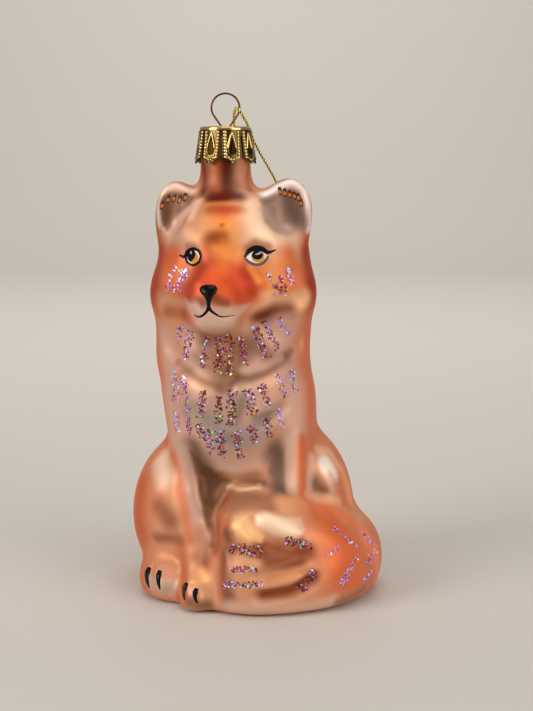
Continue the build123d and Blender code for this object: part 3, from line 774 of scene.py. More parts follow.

# Sprayed colours, with painted shade, highlights and reflections among them, laid one over another: places in
# the picture, reach in millimetres, colour, strength
SPRAY_AND_PAINTED_LIGHT = [
    # neck and crown, with a painted reflection darkest down the neck's middle and onto the crown
    ([(226, 162), (226, 196)], 6.6, (68, 14, 0), 0.97),
    ([(204, 166), (204, 194)], 3.4, (120, 64, 42), 0.85),
    ([(248, 166), (250, 194)], 3.4, (196, 128, 98), 0.8),
    ([(204, 201), (248, 201)], 2.8, (206, 112, 60), 0.7),
    ([(214, 198), (238, 198)], 3.4, (84, 18, 0), 0.95),
    # ears
    ([(168, 204), (164, 224)], 5.0, (98, 62, 44), 0.92),
    ([(176, 200), (188, 200)], 3.4, (150, 114, 94), 0.8),
    ([(176, 226), (190, 208)], 4.0, (220, 184, 164), 0.9),
    ([(286, 200), (296, 220)], 6.0, (92, 72, 63), 0.92),
    ([(278, 200), (270, 206)], 4.0, (144, 118, 104), 0.8),
    ([(270, 218), (282, 228)], 4.8, (184, 156, 140), 0.85),
    ([(160, 224), (158, 202), (164, 188), (176, 185), (192, 190)], 2.0, (242, 214, 200), 0.88),
    ([(264, 194), (277, 187), (291, 181), (304, 187), (309, 203), (309, 228)], 2.3, (248, 238, 234), 0.88),
    # brows and forehead, with painted highlights on the brows
    ([(170, 236), (190, 236)], 6.0, (208, 160, 132), 0.95),
    ([(198, 208), (194, 232)], 3.8, (208, 146, 108), 0.85),
    ([(250, 206), (260, 228), (290, 242)], 7.4, (255, 212, 178), 0.97),
    ([(222, 214), (222, 231)], 4.6, (252, 150, 62), 0.95),
    ([(213, 210), (236, 210)], 4.2, (168, 50, 22), 0.72),
    ([(210, 204), (240, 204)], 1.5, (250, 150, 66), 0.5),
    ([(212, 240), (222, 241)], 4.2, (118, 36, 10), 0.85),
    # shade over the eyes
    ([(247, 249), (255, 243), (268, 247)], 2.2, (138, 76, 44), 0.7),
    ([(188, 247), (198, 246), (203, 252)], 1.9, (150, 86, 56), 0.65),
    # sides of the head
    ([(160, 252), (155, 294)], 6.2, (166, 64, 42), 0.95),
    ([(308, 252), (311, 294)], 6.6, (162, 48, 22), 0.95),
    ([(172, 258), (172, 288)], 5.6, (206, 96, 52), 0.9),
    ([(290, 256), (292, 288)], 6.2, (212, 104, 50), 0.9),
    ([(262, 272), (268, 290)], 4.6, (230, 140, 70), 0.9),
    # muzzle
    ([(196, 278), (222, 276), (244, 282)], 8.6, (216, 84, 44), 0.9),
    ([(222, 250), (223, 266)], 5.2, (250, 148, 70), 0.95),
    ([(208, 262), (194, 282), (188, 294)], 5.0, (176, 68, 46), 0.85),
    ([(216, 278), (228, 292)], 6.0, (232, 92, 46), 0.9),
    ([(243, 272), (250, 288)], 5.2, (180, 54, 32), 0.85),
    ([(224, 297), (252, 297)], 2.6, (196, 72, 40), 0.8),
    ([(189, 307), (202, 308)], 3.6, (222, 184, 164), 0.92),
    ([(220, 308), (246, 308)], 3.6, (208, 142, 110), 0.9),
    ([(200, 323), (228, 325)], 5.6, (220, 184, 168), 0.92),
    # painted shade under the nose
    ([(202, 299), (203, 304)], 2.4, (130, 80, 54), 0.6),
    ([(214, 300), (224, 302)], 2.4, (140, 70, 40), 0.7),
    # below the cheeks: a pale band, and painted shade under the cheeks
    ([(164, 300), (184, 304)], 4.0, (210, 150, 120), 0.9),
    ([(262, 303), (302, 299)], 4.4, (248, 188, 146), 0.9),
    ([(236, 301), (256, 299)], 3.4, (192, 84, 48), 0.6),
    ([(168, 311), (184, 314)], 3.0, (156, 84, 54), 0.85),
    ([(258, 318), (275, 311), (289, 310)], 3.8, (96, 18, 0), 0.95),
    # chest, with painted shade under the chin and in its folds
    ([(166, 335), (176, 440)], 6.4, (208, 164, 146), 0.95),
    ([(284, 330), (294, 430)], 7.0, (208, 164, 146), 0.95),
    ([(196, 345), (200, 440)], 8.0, (208, 168, 150), 0.95),
    ([(254, 345), (258, 440)], 8.0, (198, 156, 138), 0.95),
    ([(226, 400), (226, 460)], 7.0, (190, 154, 138), 0.9),
    ([(206, 338), (238, 342)], 4.6, (150, 98, 78), 0.85),
    ([(204, 352), (226, 370), (250, 348)], 5.4, (104, 64, 42), 0.75),
    ([(254, 338), (267, 354)], 3.8, (122, 76, 62), 0.7),
    ([(214, 384), (230, 390), (256, 374), (286, 357)], 3.0, (140, 98, 76), 0.8),
    ([(184, 372), (208, 385)], 2.8, (160, 118, 96), 0.75),
    ([(192, 408), (210, 424)], 5.0, (150, 136, 124), 0.7),
    ([(238, 404), (244, 388)], 4.6, (152, 136, 124), 0.65),
    ([(222, 432), (250, 438)], 6.6, (156, 146, 138), 0.75),
    ([(262, 422), (274, 410)], 4.6, (152, 136, 124), 0.65),
    ([(198, 458), (230, 466), (262, 456)], 4.8, (206, 164, 146), 0.85),
    ([(212, 476), (234, 481), (256, 476)], 3.0, (160, 104, 76), 0.85),
    # painted shade in the recesses beside the legs and under the chest, with a painted highlight along the
    # fold
    ([(192, 448), (205, 470), (212, 500)], 5.0, (102, 68, 50), 0.92),
    ([(206, 474), (220, 484)], 3.6, (88, 54, 36), 0.92),
    ([(211, 504), (214, 546)], 3.4, (102, 58, 36), 0.92),
    ([(276, 450), (281, 494)], 5.4, (96, 74, 65), 0.95),
    ([(226, 500), (266, 502)], 4.8, (138, 90, 63), 0.92),
    ([(224, 481), (264, 483)], 1.6, (104, 68, 46), 0.85),
    ([(228, 487), (260, 488)], 0.9, (228, 190, 150), 0.85),
    # front legs: pale, partly a painted highlight, with orange edges and painted shade at the near leg's foot
    ([(182, 448), (192, 500), (202, 536)], 3.6, (196, 158, 142), 0.92),
    ([(199, 532), (204, 552)], 3.8, (176, 118, 90), 0.8),
    ([(196, 557), (202, 563)], 3.4, (140, 80, 54), 0.85),
    ([(174, 456), (184, 504), (190, 540)], 2.4, (206, 114, 76), 0.75),
    ([(291, 440), (293, 488)], 3.2, (220, 178, 158), 0.92),
    ([(302, 440), (304, 496)], 3.0, (206, 104, 58), 0.92),
    # haunches: orange at the outer edge and painted highlights on top, with a painted reflection in light and
    # dark patches on the right one
    ([(140, 488), (140, 530)], 6.2, (196, 96, 56), 0.95),
    ([(162, 460), (166, 476)], 5.4, (250, 216, 190), 0.85),
    ([(160, 505), (170, 520)], 4.6, (150, 88, 58), 0.92),
    ([(158, 538), (180, 540)], 3.0, (166, 104, 74), 0.85),
    ([(326, 462), (332, 472)], 3.8, (255, 240, 222), 0.97),
    ([(314, 482), (324, 491)], 3.8, (104, 68, 50), 0.95),
    ([(342, 470), (350, 498)], 4.2, (238, 158, 114), 0.92),
    # feet, with a painted highlight on the front paw
    ([(150, 556), (180, 558)], 3.8, (210, 138, 100), 0.9),
    ([(150, 582), (172, 588)], 3.2, (196, 164, 148), 0.92),
    ([(200, 576), (206, 580)], 3.4, (236, 166, 110), 0.9),
    ([(190, 602), (208, 605)], 2.6, (132, 90, 66), 0.92),
    # tail: orange, with painted shade under the lap and in its grooves, and painted highlights on its top and
    # ridges
    ([(232, 506), (270, 506)], 3.4, (166, 110, 78), 0.85),
    ([(284, 502), (308, 506)], 4.2, (240, 162, 114), 0.92),
    ([(240, 522), (250, 532)], 4.0, (238, 178, 128), 0.95),
    ([(264, 519), (292, 530)], 3.4, (252, 216, 184), 0.95),
    ([(330, 522), (346, 572)], 12.0, (218, 100, 52), 0.92),
    ([(326, 508), (352, 520)], 5.0, (236, 120, 76), 0.8),
    ([(366, 536), (378, 572)], 5.0, (244, 140, 116), 0.85),
    ([(262, 545), (288, 552), (308, 551)], 3.6, (132, 58, 26), 0.92),
    ([(230, 546), (262, 554)], 2.6, (150, 82, 44), 0.9),
    ([(268, 562), (300, 562)], 3.0, (124, 60, 30), 0.9),
    ([(227, 534), (229, 600)], 3.2, (116, 70, 48), 0.88),
    ([(268, 580), (306, 569)], 1.8, (200, 128, 80), 0.85),
    ([(264, 594), (290, 590), (312, 576)], 3.2, (132, 58, 24), 0.95),
    ([(232, 607), (290, 610), (332, 602)], 3.6, (224, 182, 160), 0.9),
    ([(338, 602), (364, 588)], 2.4, (156, 112, 92), 0.85),
]

# Spray on the back: line in millimetres, reach in millimetres, colour, strength
BACK_SPRAY = [
    # deeper down the spine
    ([(1.9, 13.0, 103.0), (2.0, 17.0, 85.0), (2.2, 16.0, 62.0), (3.6, 19.0, 42.0)], 8.0, (160, 60, 34), 0.6),
    # paler on the haunches, the shoulders and the tail's root
    ([(-9.0, 20.0, 26.0), (-14.0, 15.0, 20.0)], 9.0, (232, 152, 108), 0.6),
    ([(18.0, 20.0, 28.0), (25.0, 13.0, 24.0)], 9.0, (232, 152, 108), 0.6),
    ([(-9.0, 14.0, 60.0), (-9.5, 15.0, 70.0)], 6.5, (222, 134, 92), 0.5),
    ([(13.5, 14.0, 60.0), (14.0, 15.0, 70.0)], 6.5, (222, 134, 92), 0.5),
    ([(8.0, 23.5, 12.0), (22.0, 20.0, 10.0)], 7.0, (226, 128, 82), 0.5),
    # backs of the ears
    ([(-11.0, 2.0, 103.0), (-12.0, 2.0, 98.0)], 4.0, (228, 158, 122), 0.6),
    ([(15.0, 2.0, 104.0), (16.0, 2.0, 98.0)], 4.0, (228, 158, 122), 0.6),
]

# Sprayed patches with a definite edge, some of them painted shade and painted highlights: outline in the
# picture, softness in pixels, colour, strength
PATCHES = [
    # inside the ears
    ([(160, 204), (163, 196), (170, 192), (184, 193), (195, 197), (190, 205), (178, 215), (171, 226),
      (166, 233), (162, 221)], 4.0, (118, 82, 64), 0.8),
    ([(261, 201), (272, 195), (287, 189), (299, 192), (305, 202), (306, 215), (304, 227), (298, 233),
      (287, 236), (274, 232), (265, 222)], 7.0, (134, 108, 96), 0.65),
    # muzzle and chin
    ([(206, 259), (216, 257), (230, 259), (240, 263), (246, 270), (252, 280), (257, 290), (257, 297),
      (251, 302), (240, 304), (230, 302), (218, 299), (203, 300), (190, 301), (186, 296), (188, 283),
      (194, 268)],
     6.0, (208, 74, 38), 0.5),
    ([(189, 303), (203, 305), (218, 307), (232, 307), (250, 304), (243, 313), (232, 322), (222, 328),
      (205, 329), (196, 322), (190, 312)], 4.0, (222, 186, 168), 0.5),
    # painted shade between the front leg and the chest
    ([(189, 448), (200, 459), (208, 468), (218, 478), (227, 484), (223, 493), (217, 505), (211, 520),
      (208, 530), (204, 517), (199, 490), (194, 468)], 4.0, (98, 64, 44), 0.8),
    # painted shade between the chest and the other leg
    ([(284, 446), (285, 494), (278, 490), (268, 470), (272, 460)], 4.0, (104, 80, 70), 0.6),
    # painted highlights on the tail's tip and along its top
    ([(233, 516), (246, 516), (252, 527), (264, 537), (262, 543), (250, 541),
      (236, 536)], 4.0, (250, 190, 130), 0.6),
    ([(256, 515), (300, 518), (306, 530), (298, 538), (274, 536), (258, 526)], 5.0, (255, 222, 190), 0.45),
]

# Small touches over the patches, some of them painted shade, highlights and reflection: places in the
# picture, reach in millimetres, colour, strength
TOUCHES = [
    # neck, in stripes of painted reflection, dark in the middle
    ([(203, 164), (203, 192)], 1.6, (112, 40, 24), 0.7),
    ([(210, 166), (210, 192)], 1.6, (150, 70, 40), 0.5),
    ([(217, 164), (217, 192)], 2.2, (192, 84, 36), 0.45),
    ([(227, 162), (227, 196)], 2.4, (92, 24, 4), 0.65),
    ([(249, 166), (250, 190)], 1.4, (140, 64, 44), 0.6),
    # folds of the chest: painted shade in them, painted highlights along their ridges, and grey fur
    ([(178, 362), (190, 371), (200, 379), (212, 386), (222, 390)], 1.8, (138, 92, 66), 0.6),
    ([(232, 384), (239, 377), (250, 378), (262, 375), (276, 364), (291, 351)], 1.8, (126, 84, 62), 0.65),
    ([(238, 375), (241, 375)], 2.0, (96, 60, 40), 0.5),
    ([(183, 378), (196, 386), (210, 391)], 1.9, (244, 190, 144), 0.42),
    ([(237, 389), (254, 387), (276, 379)], 2.0, (246, 194, 150), 0.5),
    ([(243, 371), (264, 366), (281, 358)], 1.8, (220, 180, 160), 0.45),
    ([(243, 398), (237, 421)], 1.8, (122, 104, 92), 0.6),
    ([(256, 417), (268, 414)], 1.8, (116, 98, 88), 0.6),
    ([(224, 437), (236, 441)], 2.6, (140, 128, 118), 0.55),
    ([(186, 412), (190, 424)], 2.2, (150, 134, 126), 0.5),
    ([(214, 398), (206, 420)], 2.4, (150, 130, 120), 0.4),
    ([(251, 402), (256, 408)], 1.6, (214, 188, 172), 0.5),
    # crown and forehead; the dark on the crown is the neck's painted reflection
    ([(213, 197), (239, 197)], 3.4, (98, 20, 0), 0.85),
    ([(209, 216), (207, 232)], 3.6, (238, 156, 90), 0.55),
    ([(237, 214), (235, 236)], 3.2, (250, 164, 90), 0.5),
    ([(212, 250), (232, 252)], 4.0, (246, 146, 72), 0.5),
    ([(205, 250), (207, 260)], 2.8, (184, 92, 56), 0.5),
    ([(239, 252), (240, 260)], 2.6, (212, 124, 68), 0.5),
    ([(211, 210), (235, 210)], 2.4, (176, 52, 20), 0.55),
    ([(213, 238), (220, 239)], 3.2, (138, 46, 12), 0.65),
    ([(221, 225), (223, 225)], 0.9, (150, 58, 18), 0.7),
    # ears
    ([(156, 226), (156, 206), (159, 192), (164, 185), (172, 182), (184, 184),
      (194, 188)], 1.1, (172, 92, 72), 0.6),
    ([(312, 226), (312, 211), (310, 197), (304, 186), (297, 180), (288, 179),
      (278, 182)], 1.1, (172, 92, 72), 0.6),
    ([(290, 200), (301, 222)], 3.6, (92, 72, 64), 0.7),
    ([(163, 202), (165, 222)], 2.6, (96, 62, 46), 0.7),
    ([(266, 214), (274, 226), (286, 231)], 3.4, (204, 176, 158), 0.6),
    ([(263, 201), (272, 198)], 1.8, (132, 100, 84), 0.6),
    # painted highlight on the left brow beside the ear
    ([(199, 201), (191, 218)], 1.8, (252, 206, 168), 0.6),
    # cheeks
    ([(170, 258), (182, 270), (178, 290)], 4.0, (204, 98, 56), 0.5),
    ([(177, 261), (187, 269)], 3.0, (200, 96, 54), 0.6),
    ([(278, 258), (283, 286)], 4.4, (214, 118, 64), 0.45),
    ([(258, 272), (263, 286)], 2.4, (186, 92, 44), 0.5),
    # muzzle
    ([(203, 262), (194, 282), (190, 297)], 2.6, (168, 60, 40), 0.6),
    ([(247, 276), (253, 292)], 2.8, (174, 48, 28), 0.6),
    ([(250, 268), (258, 280)], 1.8, (246, 150, 74), 0.7),
    # painted shade under the nose
    ([(198, 298), (203, 304)], 1.7, (112, 58, 32), 0.65),
    ([(215, 298), (227, 303)], 1.8, (110, 48, 20), 0.65),
    # edge of the lap beside the recess: painted highlights along the edge and the fold, painted shade in the
    # recess
    ([(224, 496), (217, 507), (212, 520)], 1.5, (206, 152, 116), 0.4),
    ([(229, 500), (219, 524), (217, 550)], 2.2, (188, 108, 70), 0.65),
    ([(208, 512), (213, 530)], 2.2, (120, 70, 44), 0.6),
    ([(231, 486), (235, 488), (241, 489), (249, 489), (255, 487), (259, 485)], 1.0, (240, 204, 160), 0.6),
    # painted reflection on the haunch beside the tail, in light and dark patches
    ([(312, 458), (309, 486)], 2.4, (244, 206, 184), 0.5),
    ([(318, 450), (330, 452), (337, 464)], 2.4, (252, 196, 158), 0.6),
    ([(308, 495), (324, 499), (338, 501)], 2.4, (250, 196, 154), 0.5),
    ([(322, 464), (326, 470)], 2.2, (255, 232, 218), 0.6),
    ([(330, 476), (334, 488)], 2.2, (196, 156, 134), 0.7),
]


def soften(fox, soft_places, passes):
    """Eases the skin where the glass is softest."""
    tree = skin_tree(fox)
    points = points_of(fox)
    ease = np.zeros(len(points))
    for places, reach in soft_places:
        line = drawn_line(tree, places)
        ease = np.maximum(ease, falloff(line_distance(points, line), reach * MM))
    group = fox.vertex_groups.new(name="softest")
    for index in np.nonzero(ease)[0]:
        group.add([int(index)], float(ease[index]), "REPLACE")
    smooth(fox, passes, vertex_group=group.name)


def model_relief(fox):
    """Raises and lowers the skin along each stroke of relief."""
    tree = skin_tree(fox)
    points = points_of(fox)
    normals = normals_of(fox)
    lift = np.zeros(len(points))
    for places, reach, height in RELIEF:
        line = drawn_line(tree, places)
        lift += height * falloff(line_distance(points, line), reach * MM)
    move_points(fox, points + normals * lift[:, None] * MM)
    smooth(fox, RELIEF_PASSES)


def picture_places(points):
    """Where each point shows in the picture."""
    away = points / MM - np.array(CAMERA_PLACE)
    tilt = math.radians(CAMERA_TILT)
    depth = away[:, 1] * math.cos(tilt) - away[:, 2] * math.sin(tilt)
    rise = away[:, 1] * math.sin(tilt) + away[:, 2] * math.cos(tilt)
    across = PICTURE_WIDTH / 2 + FOCAL_PIXELS * away[:, 0] / depth
    return np.stack([across, PICTURE_HEIGHT / 2 - FOCAL_PIXELS * rise / depth], axis=1)


def within_outline(places, outline, softness):
    """1 inside an outline in the picture, easing to 0 across its edge."""
    corners = np.array(outline + outline[:1], float)
    inside = np.zeros(len(places), bool)
    for (x0, y0), (x1, y1) in zip(corners, corners[1:]):
        level = (y0 > places[:, 1]) != (y1 > places[:, 1])
        rise = y1 - y0 if y1 != y0 else 1.0
        inside ^= level & (places[:, 0] < x0 + (places[:, 1] - y0) * (x1 - x0) / rise)
    edge = line_distance(places, corners) / softness
    return eased(np.clip(0.5 + np.where(inside, edge, -edge), 0, 1))


def fade_round(fox, colours, share):
    """Lets the spray drift into the neighbouring colours where the skin turns to the sides and back."""
    ends = np.empty(len(fox.data.edges) * 2, np.int32)
    fox.data.edges.foreach_get("vertices", ends)
    first, second = ends.reshape(-1, 2).T
    count = len(colours)
    meeting = np.bincount(ends, minlength=count)[:, None]
    for _ in range(FADE_PASSES):
        around = np.stack([np.bincount(first, colours[second, tone], count)
                           + np.bincount(second, colours[first, tone], count) for tone in range(3)], axis=1)
        colours += share[:, None] * (around / meeting - colours)


def spray_colours_and_painted_light(fox, tree):
    """Sprays the lacquer: peach all over, orange at the sides and back, then each stroke, patch and touch,
    some of which are painted shade, highlights and reflections.
    """
    points = points_of(fox)
    normals = normals_of(fox)
    colours = np.tile(linear(PEACH), (len(points), 1))

    def lay(colour, strength):
        colours[:] += strength[:, None] * (linear(colour) - colours)

    def lay_strokes(strokes):
        for places, reach, colour, strength in strokes:
            line = drawn_line(tree, places)
            lay(colour, strength * falloff(line_distance(points, line), reach * MM))

    aside = np.abs(normals[:, 0])
    behind = ramp(normals[:, 1], *BACK_TURN)
    lay(ORANGE, SIDE_STRENGTH * eased(ramp(aside, *SIDE_TURN)))
    lay(ORANGE, BACK_STRENGTH * eased(behind))
    head = falloff(points[:, 2] - HEAD_MIDDLE * MM, HEAD_REACH * MM)
    lay(DEEP_ORANGE, HEAD_STRENGTH * np.maximum(ramp(aside, *HEAD_SIDE_TURN), behind) * head)
    for line, reach, colour, strength in BACK_SPRAY:
        lay(colour, strength * behind * falloff(line_distance(points, np.array(line) * MM), reach * MM))
    lay_strokes(SPRAY_AND_PAINTED_LIGHT)
    seen = picture_places(points)
    towards = np.array(CAMERA_PLACE) * MM - points
    slant = np.sum(normals * towards, axis=1) / np.linalg.norm(towards, axis=1)
    facing = ramp(slant, *FRONT_TURN)
    for outline, softness, colour, strength in PATCHES:
        lay(colour, strength * facing * within_outline(seen, outline, softness))
    lay_strokes(TOUCHES)
    fade_round(fox, colours, 1 - ramp(slant, *ROUND_TURN))
    # The lacquer's colours, with the painted shade, highlights and reflections
    colour_points(fox.data, "spray_and_painted_light", colours)


def fox_body():
    """The fox's glass, modelled and sprayed, with painted shade, highlights and reflections in its colours.
    """
    fox = fox_skin()
    soften(fox, SOFT_PLACES, SOFT_PASSES)
    model_relief(fox)
    soften(fox, SETTLED_PLACES, SETTLED_PASSES)
    open_neck(fox)
    tree = skin_tree(fox)
    spray_colours_and_painted_light(fox, tree)
    finish_piece(fox, "glass", lacquer_material())
    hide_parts("glass_body")
    return tree


# Painted details

def round_line(places, count, closed):
    """Places in the picture joined by a smooth line, evenly stepped."""
    rows = np.array(places, float)
    if closed:
        rows = np.vstack([rows[-1], rows, rows[0], rows[1]])
    else:
        rows = np.vstack([2 * rows[0] - rows[1], rows, 2 * rows[-1] - rows[-2]])
    spans = len(rows) - 3
    at = np.linspace(0, spans, count, endpoint=not closed)
    low = np.minimum(at.astype(int), spans - 1)
    t = (at - low)[:, None]
    before, start, end, after = (rows[low + step] for step in range(4))
    return 0.5 * (2 * start + (end - before) * t + (2 * before - 5 * start + 4 * end - after) * t ** 2
                  + (3 * start - before - 3 * end + after) * t ** 3)


def painted_patch(tree, name, outline, thickness, lift, material):
    """A rounded dab of enamel inside an outline."""
    leave_edit()
    bpy.ops.mesh.primitive_uv_sphere_add(segments=DAB_SEGMENTS, ring_count=DAB_RINGS, radius=1.0)
    dab = last_made(name)
    work_on_all(dab)
    bpy.ops.mesh.bisect(plane_co=(0, 0, 0), plane_no=(0, 0, 1), clear_inner=True)
    leave_edit()
    border = round_line(outline, DAB_SEGMENTS, True)
    middle = border.mean(axis=0)
    points = points_of(dab)
    turn = np.arctan2(points[:, 1], points[:, 0]) / (2 * math.pi) * DAB_SEGMENTS
    low = np.floor(turn).astype(int)
    share = (turn - low)[:, None]
    edge = border[low % DAB_SEGMENTS] * (1 - share) + border[(low + 1) % DAB_SEGMENTS] * share
    out = np.hypot(points[:, 0], points[:, 1])[:, None]
    places = middle + out * (edge - middle)
    height = np.clip(points[:, 2], 0, 1) * thickness + lift
    put_on_skin(tree, dab, places, height)
    return finish_piece(dab, "glass", material)


def painted_line(tree, name, places, widths, thickness, lift, material):
    """A brushed line of enamel that swells and thins."""
    steps = STEPS_PER_PLACE * len(places)
    leave_edit()
    bpy.ops.mesh.primitive_grid_add(x_subdivisions=steps - 1, y_subdivisions=STROKE_COLUMNS - 1, size=2.0)
    stroke = last_made(name)
    middle = round_line(places, steps, False)
    width = np.interp(np.linspace(0, 1, steps), np.linspace(0, 1, len(widths)), widths)
    heading = np.gradient(middle, axis=0)
    heading /= np.linalg.norm(heading, axis=1)[:, None]
    sideways = np.stack([-heading[:, 1], heading[:, 0]], axis=1)
    points = points_of(stroke)
    row = np.clip(np.round((points[:, 0] + 1) / 2 * (steps - 1)).astype(int), 0, steps - 1)
    where = middle[row] + sideways[row] * (points[:, 1] * width[row] / 2)[:, None]
    thinning = np.clip(width[row] / max(widths), THINNEST_SWELL, 1)
    swell = np.sqrt(np.clip(1 - points[:, 1] ** 2, 0, 1)) * thinning
    put_on_skin(tree, stroke, where, swell * thickness + lift)
    return finish_piece(stroke, "glass", material)


def put_on_skin(tree, piece, places, heights):
    """Lays a piece's points on the skin at places in the picture, each raised by its height."""
    laid = []
    for (px, py), height in zip(places, heights):
        place, normal = seen_at(tree, px, py)
        laid.append(place + normal * height * MM)
    move_points(piece, np.array(laid))
    work_on_all(piece)
    bpy.ops.mesh.normals_make_consistent(inside=False)
    leave_edit()
    if normals_of(piece)[:, 1].mean() > 0:
        piece.data.flip_normals()


def ellipse(x, y, half_width, half_height):
    """Places round an oval."""
    turns = [step * 2 * math.pi / OVAL_PLACES for step in range(OVAL_PLACES)]
    return [(x + half_width * math.cos(turn), y + half_height * math.sin(turn)) for turn in turns]


# Enamels: red, green and blue from 0 to 255, roughness, shine
PAINTS = {
    "white": ((236, 234, 238), 0.25, 0.3),
    "amber": ((222, 150, 26), 0.25, 0.3),
    "black": ((7, 7, 9), 0.15, 0.14),
    "grey": ((96, 84, 98), 0.3, 0.2),
    "pale": ((176, 176, 178), 0.3, 0.3),
    "orange": ((198, 98, 12), 0.3, 0.3),
    "brown": ((62, 32, 14), 0.3, 0.3),
}

# Painted face: name, places in the picture, a line's widths in pixels or None for a dab inside an outline,
# thickness and lift in millimetres, enamel
FACE = [
    ("eye_left_white", [(186, 257.5), (188.5, 252), (193, 249.2), (198, 251.6), (200.2, 256.5), (198, 262),
                        (193, 264.6), (188, 262.4)], None, 0.1, -0.04, "white"),
    ("eye_left_iris", ellipse(193.6, 257.8, 5.0, 6.0), None, 0.1, 0.02, "amber"),
    ("eye_left_pupil", ellipse(191.8, 255.8, 4.6, 6.0), None, 0.1, 0.05, "black"),
    ("eye_left_glint", ellipse(191.4, 252.6, 0.9, 1.6), None, 0.06, 0.15, "pale"),
    ("eye_left_lid", [(179.8, 255.2), (185, 256.6), (187.6, 251.2), (193.2, 248.8), (198.8, 250.8),
                      (201.2, 256.2)], [1.8, 3.4, 3.2, 3.2, 2.8, 2.0], 0.12, 0.06, "black"),
    ("eye_left_lower_lid", [(185.6, 256.4), (187.4, 262.2), (193, 265.2), (198.8, 262), (201, 256)],
     [2.0, 2.3, 2.4, 2.3, 1.8], 0.1, 0.05, "black"),
    ("eye_right_white", [(245.5, 258.4), (249.5, 253), (256, 249.6), (262.5, 251), (267.4, 255.8),
                         (263, 261.4), (256.5, 263.8), (250, 262.2)], None, 0.1, -0.04, "white"),
    ("eye_right_iris", ellipse(257.8, 256.6, 6.8, 6.0), None, 0.1, 0.02, "amber"),
    ("eye_right_pupil", ellipse(257.4, 255.4, 5.8, 5.2), None, 0.1, 0.05, "black"),
    ("eye_right_glint", [(254.4, 254.6), (257, 253.2), (259.8, 251.6), (262, 252), (260.4, 253.6),
                         (257.4, 254.8)], None, 0.06, 0.15, "pale"),
    ("eye_right_lid", [(244.2, 257.6), (248.6, 251.2), (255.5, 248), (262, 248.8), (268, 252.2),
                       (276, 249.6)], [1.2, 4.4, 5.4, 5.2, 3.8, 1.0], 0.12, 0.06, "black"),
    ("eye_right_lower_lid", [(245, 258.2), (250, 262.6), (257, 264.8), (263.8, 262.4), (268.4, 256.2)],
     [1.8, 2.8, 3.0, 2.8, 1.8], 0.1, 0.04, "grey"),
    ("nose", [(199.4, 288.6), (202.8, 285.2), (209, 284.4), (215, 285.4), (217.4, 288.8), (216, 293),
              (213, 296.6), (211.2, 301), (209.6, 305), (207.4, 305), (206, 300.8), (204, 296.6),
              (200.8, 293)], None, 0.55, -0.05, "black"),
    ("mouth_left", [(208.6, 303), (208, 309), (204, 314.4), (199, 316.8), (194, 315.2)],
     [3.6, 3.4, 2.6, 2.2, 1.0], 0.14, 0.0, "black"),
    ("mouth_right", [(208.6, 303), (209.6, 309), (215, 313.6), (222, 316.8), (234, 315.4)],
     [3.6, 3.4, 2.3, 1.6, 0.6], 0.14, 0.0, "black"),
]

# Dashes on the ears: place in the picture, lean; a dash and its light run through shares of the lean and rows
EAR_DASHES = [
    (162, 205, 1.0), (168, 199, 1.0), (174, 198, 1.0), (179.5, 199.5, 1.0), (185, 197, 1.0),
    (280, 191, -0.8), (285, 192.4, -0.8), (290, 194, -0.8), (294.5, 195.4, -0.8), (298.5, 197, -0.8),
    (301, 202.5, -0.8),
]
DASH_LINE = [(1.0, -4.0), (0.0, 0.0), (-1.0, 4.2)]
DASH_WIDTHS = [3.4, 4.8, 3.6]
LIGHT_LINE = [(0.8, -0.8), (-0.4, 2.8)]
LIGHT_WIDTHS = [1.8, 3.0, 2.0]

# Claws on the paws, places in the picture
CLAWS = [
    [(149.4, 567.4), (147, 574), (147.2, 581), (149.2, 587.6)],
    [(160, 570.6), (158.4, 577), (158.6, 583.4), (160, 589.4)],
    [(186.6, 582.8), (184.4, 588.4), (183.8, 594.4), (184.6, 600)],
    [(196.6, 588.4), (195, 593.6), (195.4, 598.6), (197.4, 603.4)],
]
CLAW_WIDTHS = [4.0, 5.8, 4.2, 3.0, 1.4]


def painted_face(tree):
    """Eyes, nose, mouth, ear dashes and claws in brushed enamel."""
    paints = {name: paint_material(f"{name}_enamel", *finish) for name, finish in PAINTS.items()}
    details = list(FACE)
    for count, (x, y, lean) in enumerate(EAR_DASHES):
        dash = [(x + share * lean, y + rise) for share, rise in DASH_LINE]
        light = [(x + share * lean, y + rise) for share, rise in LIGHT_LINE]
        details.append((f"ear_dash_{count}", dash, DASH_WIDTHS, 0.12, -0.02, "brown"))
        details.append((f"ear_dash_light_{count}", light, LIGHT_WIDTHS, 0.1, 0.08, "orange"))
    for count, places in enumerate(CLAWS):
        details.append((f"claw_{count}", places, CLAW_WIDTHS, 0.3, 0.0, "black"))
    for name, places, widths, thickness, lift, paint in details:
        if widths:
            painted_line(tree, name, places, widths, thickness, lift, paints[paint])
        else:
            painted_patch(tree, name, places, thickness, lift, paints[paint])


# Glitter

FLAKE_COLOURS = {
    "ruby": (144, 38, 44),
    "maroon": (84, 28, 30),
    "brown": (110, 60, 34),
    "rose": (190, 92, 110),
    "lilac": (196, 158, 255),
    "white": (246, 244, 252),
    "ice": (190, 214, 250),
    "green": (132, 236, 156),
    "lime": (206, 236, 110),
    "yellow": (236, 206, 60),
}
WARM_FLAKES = (["ruby", "maroon", "brown", "rose", "lilac", "yellow"], [20, 15, 8, 7, 3, 1])
COOL_FLAKES = (["lilac", "white", "ice", "rose"], [7, 2, 2, 3])
FLAKES_PER_PIXEL = 0.34
FLAKE_CORNERS = 6
FLAKE_SIZES = (0.17, 0.32)
FLAKE_HEIGHTS = (0.04, 0.12)
FLAKE_SHADES = (0.75, 1.2)
FLAKE_TILT = 0.22
FLAKE_SPREAD = 0.68
FLAKE_CROWDING = 1.2
SPARK_SIZES = (0.3, 0.42)
SPARK_HEIGHT = 0.16

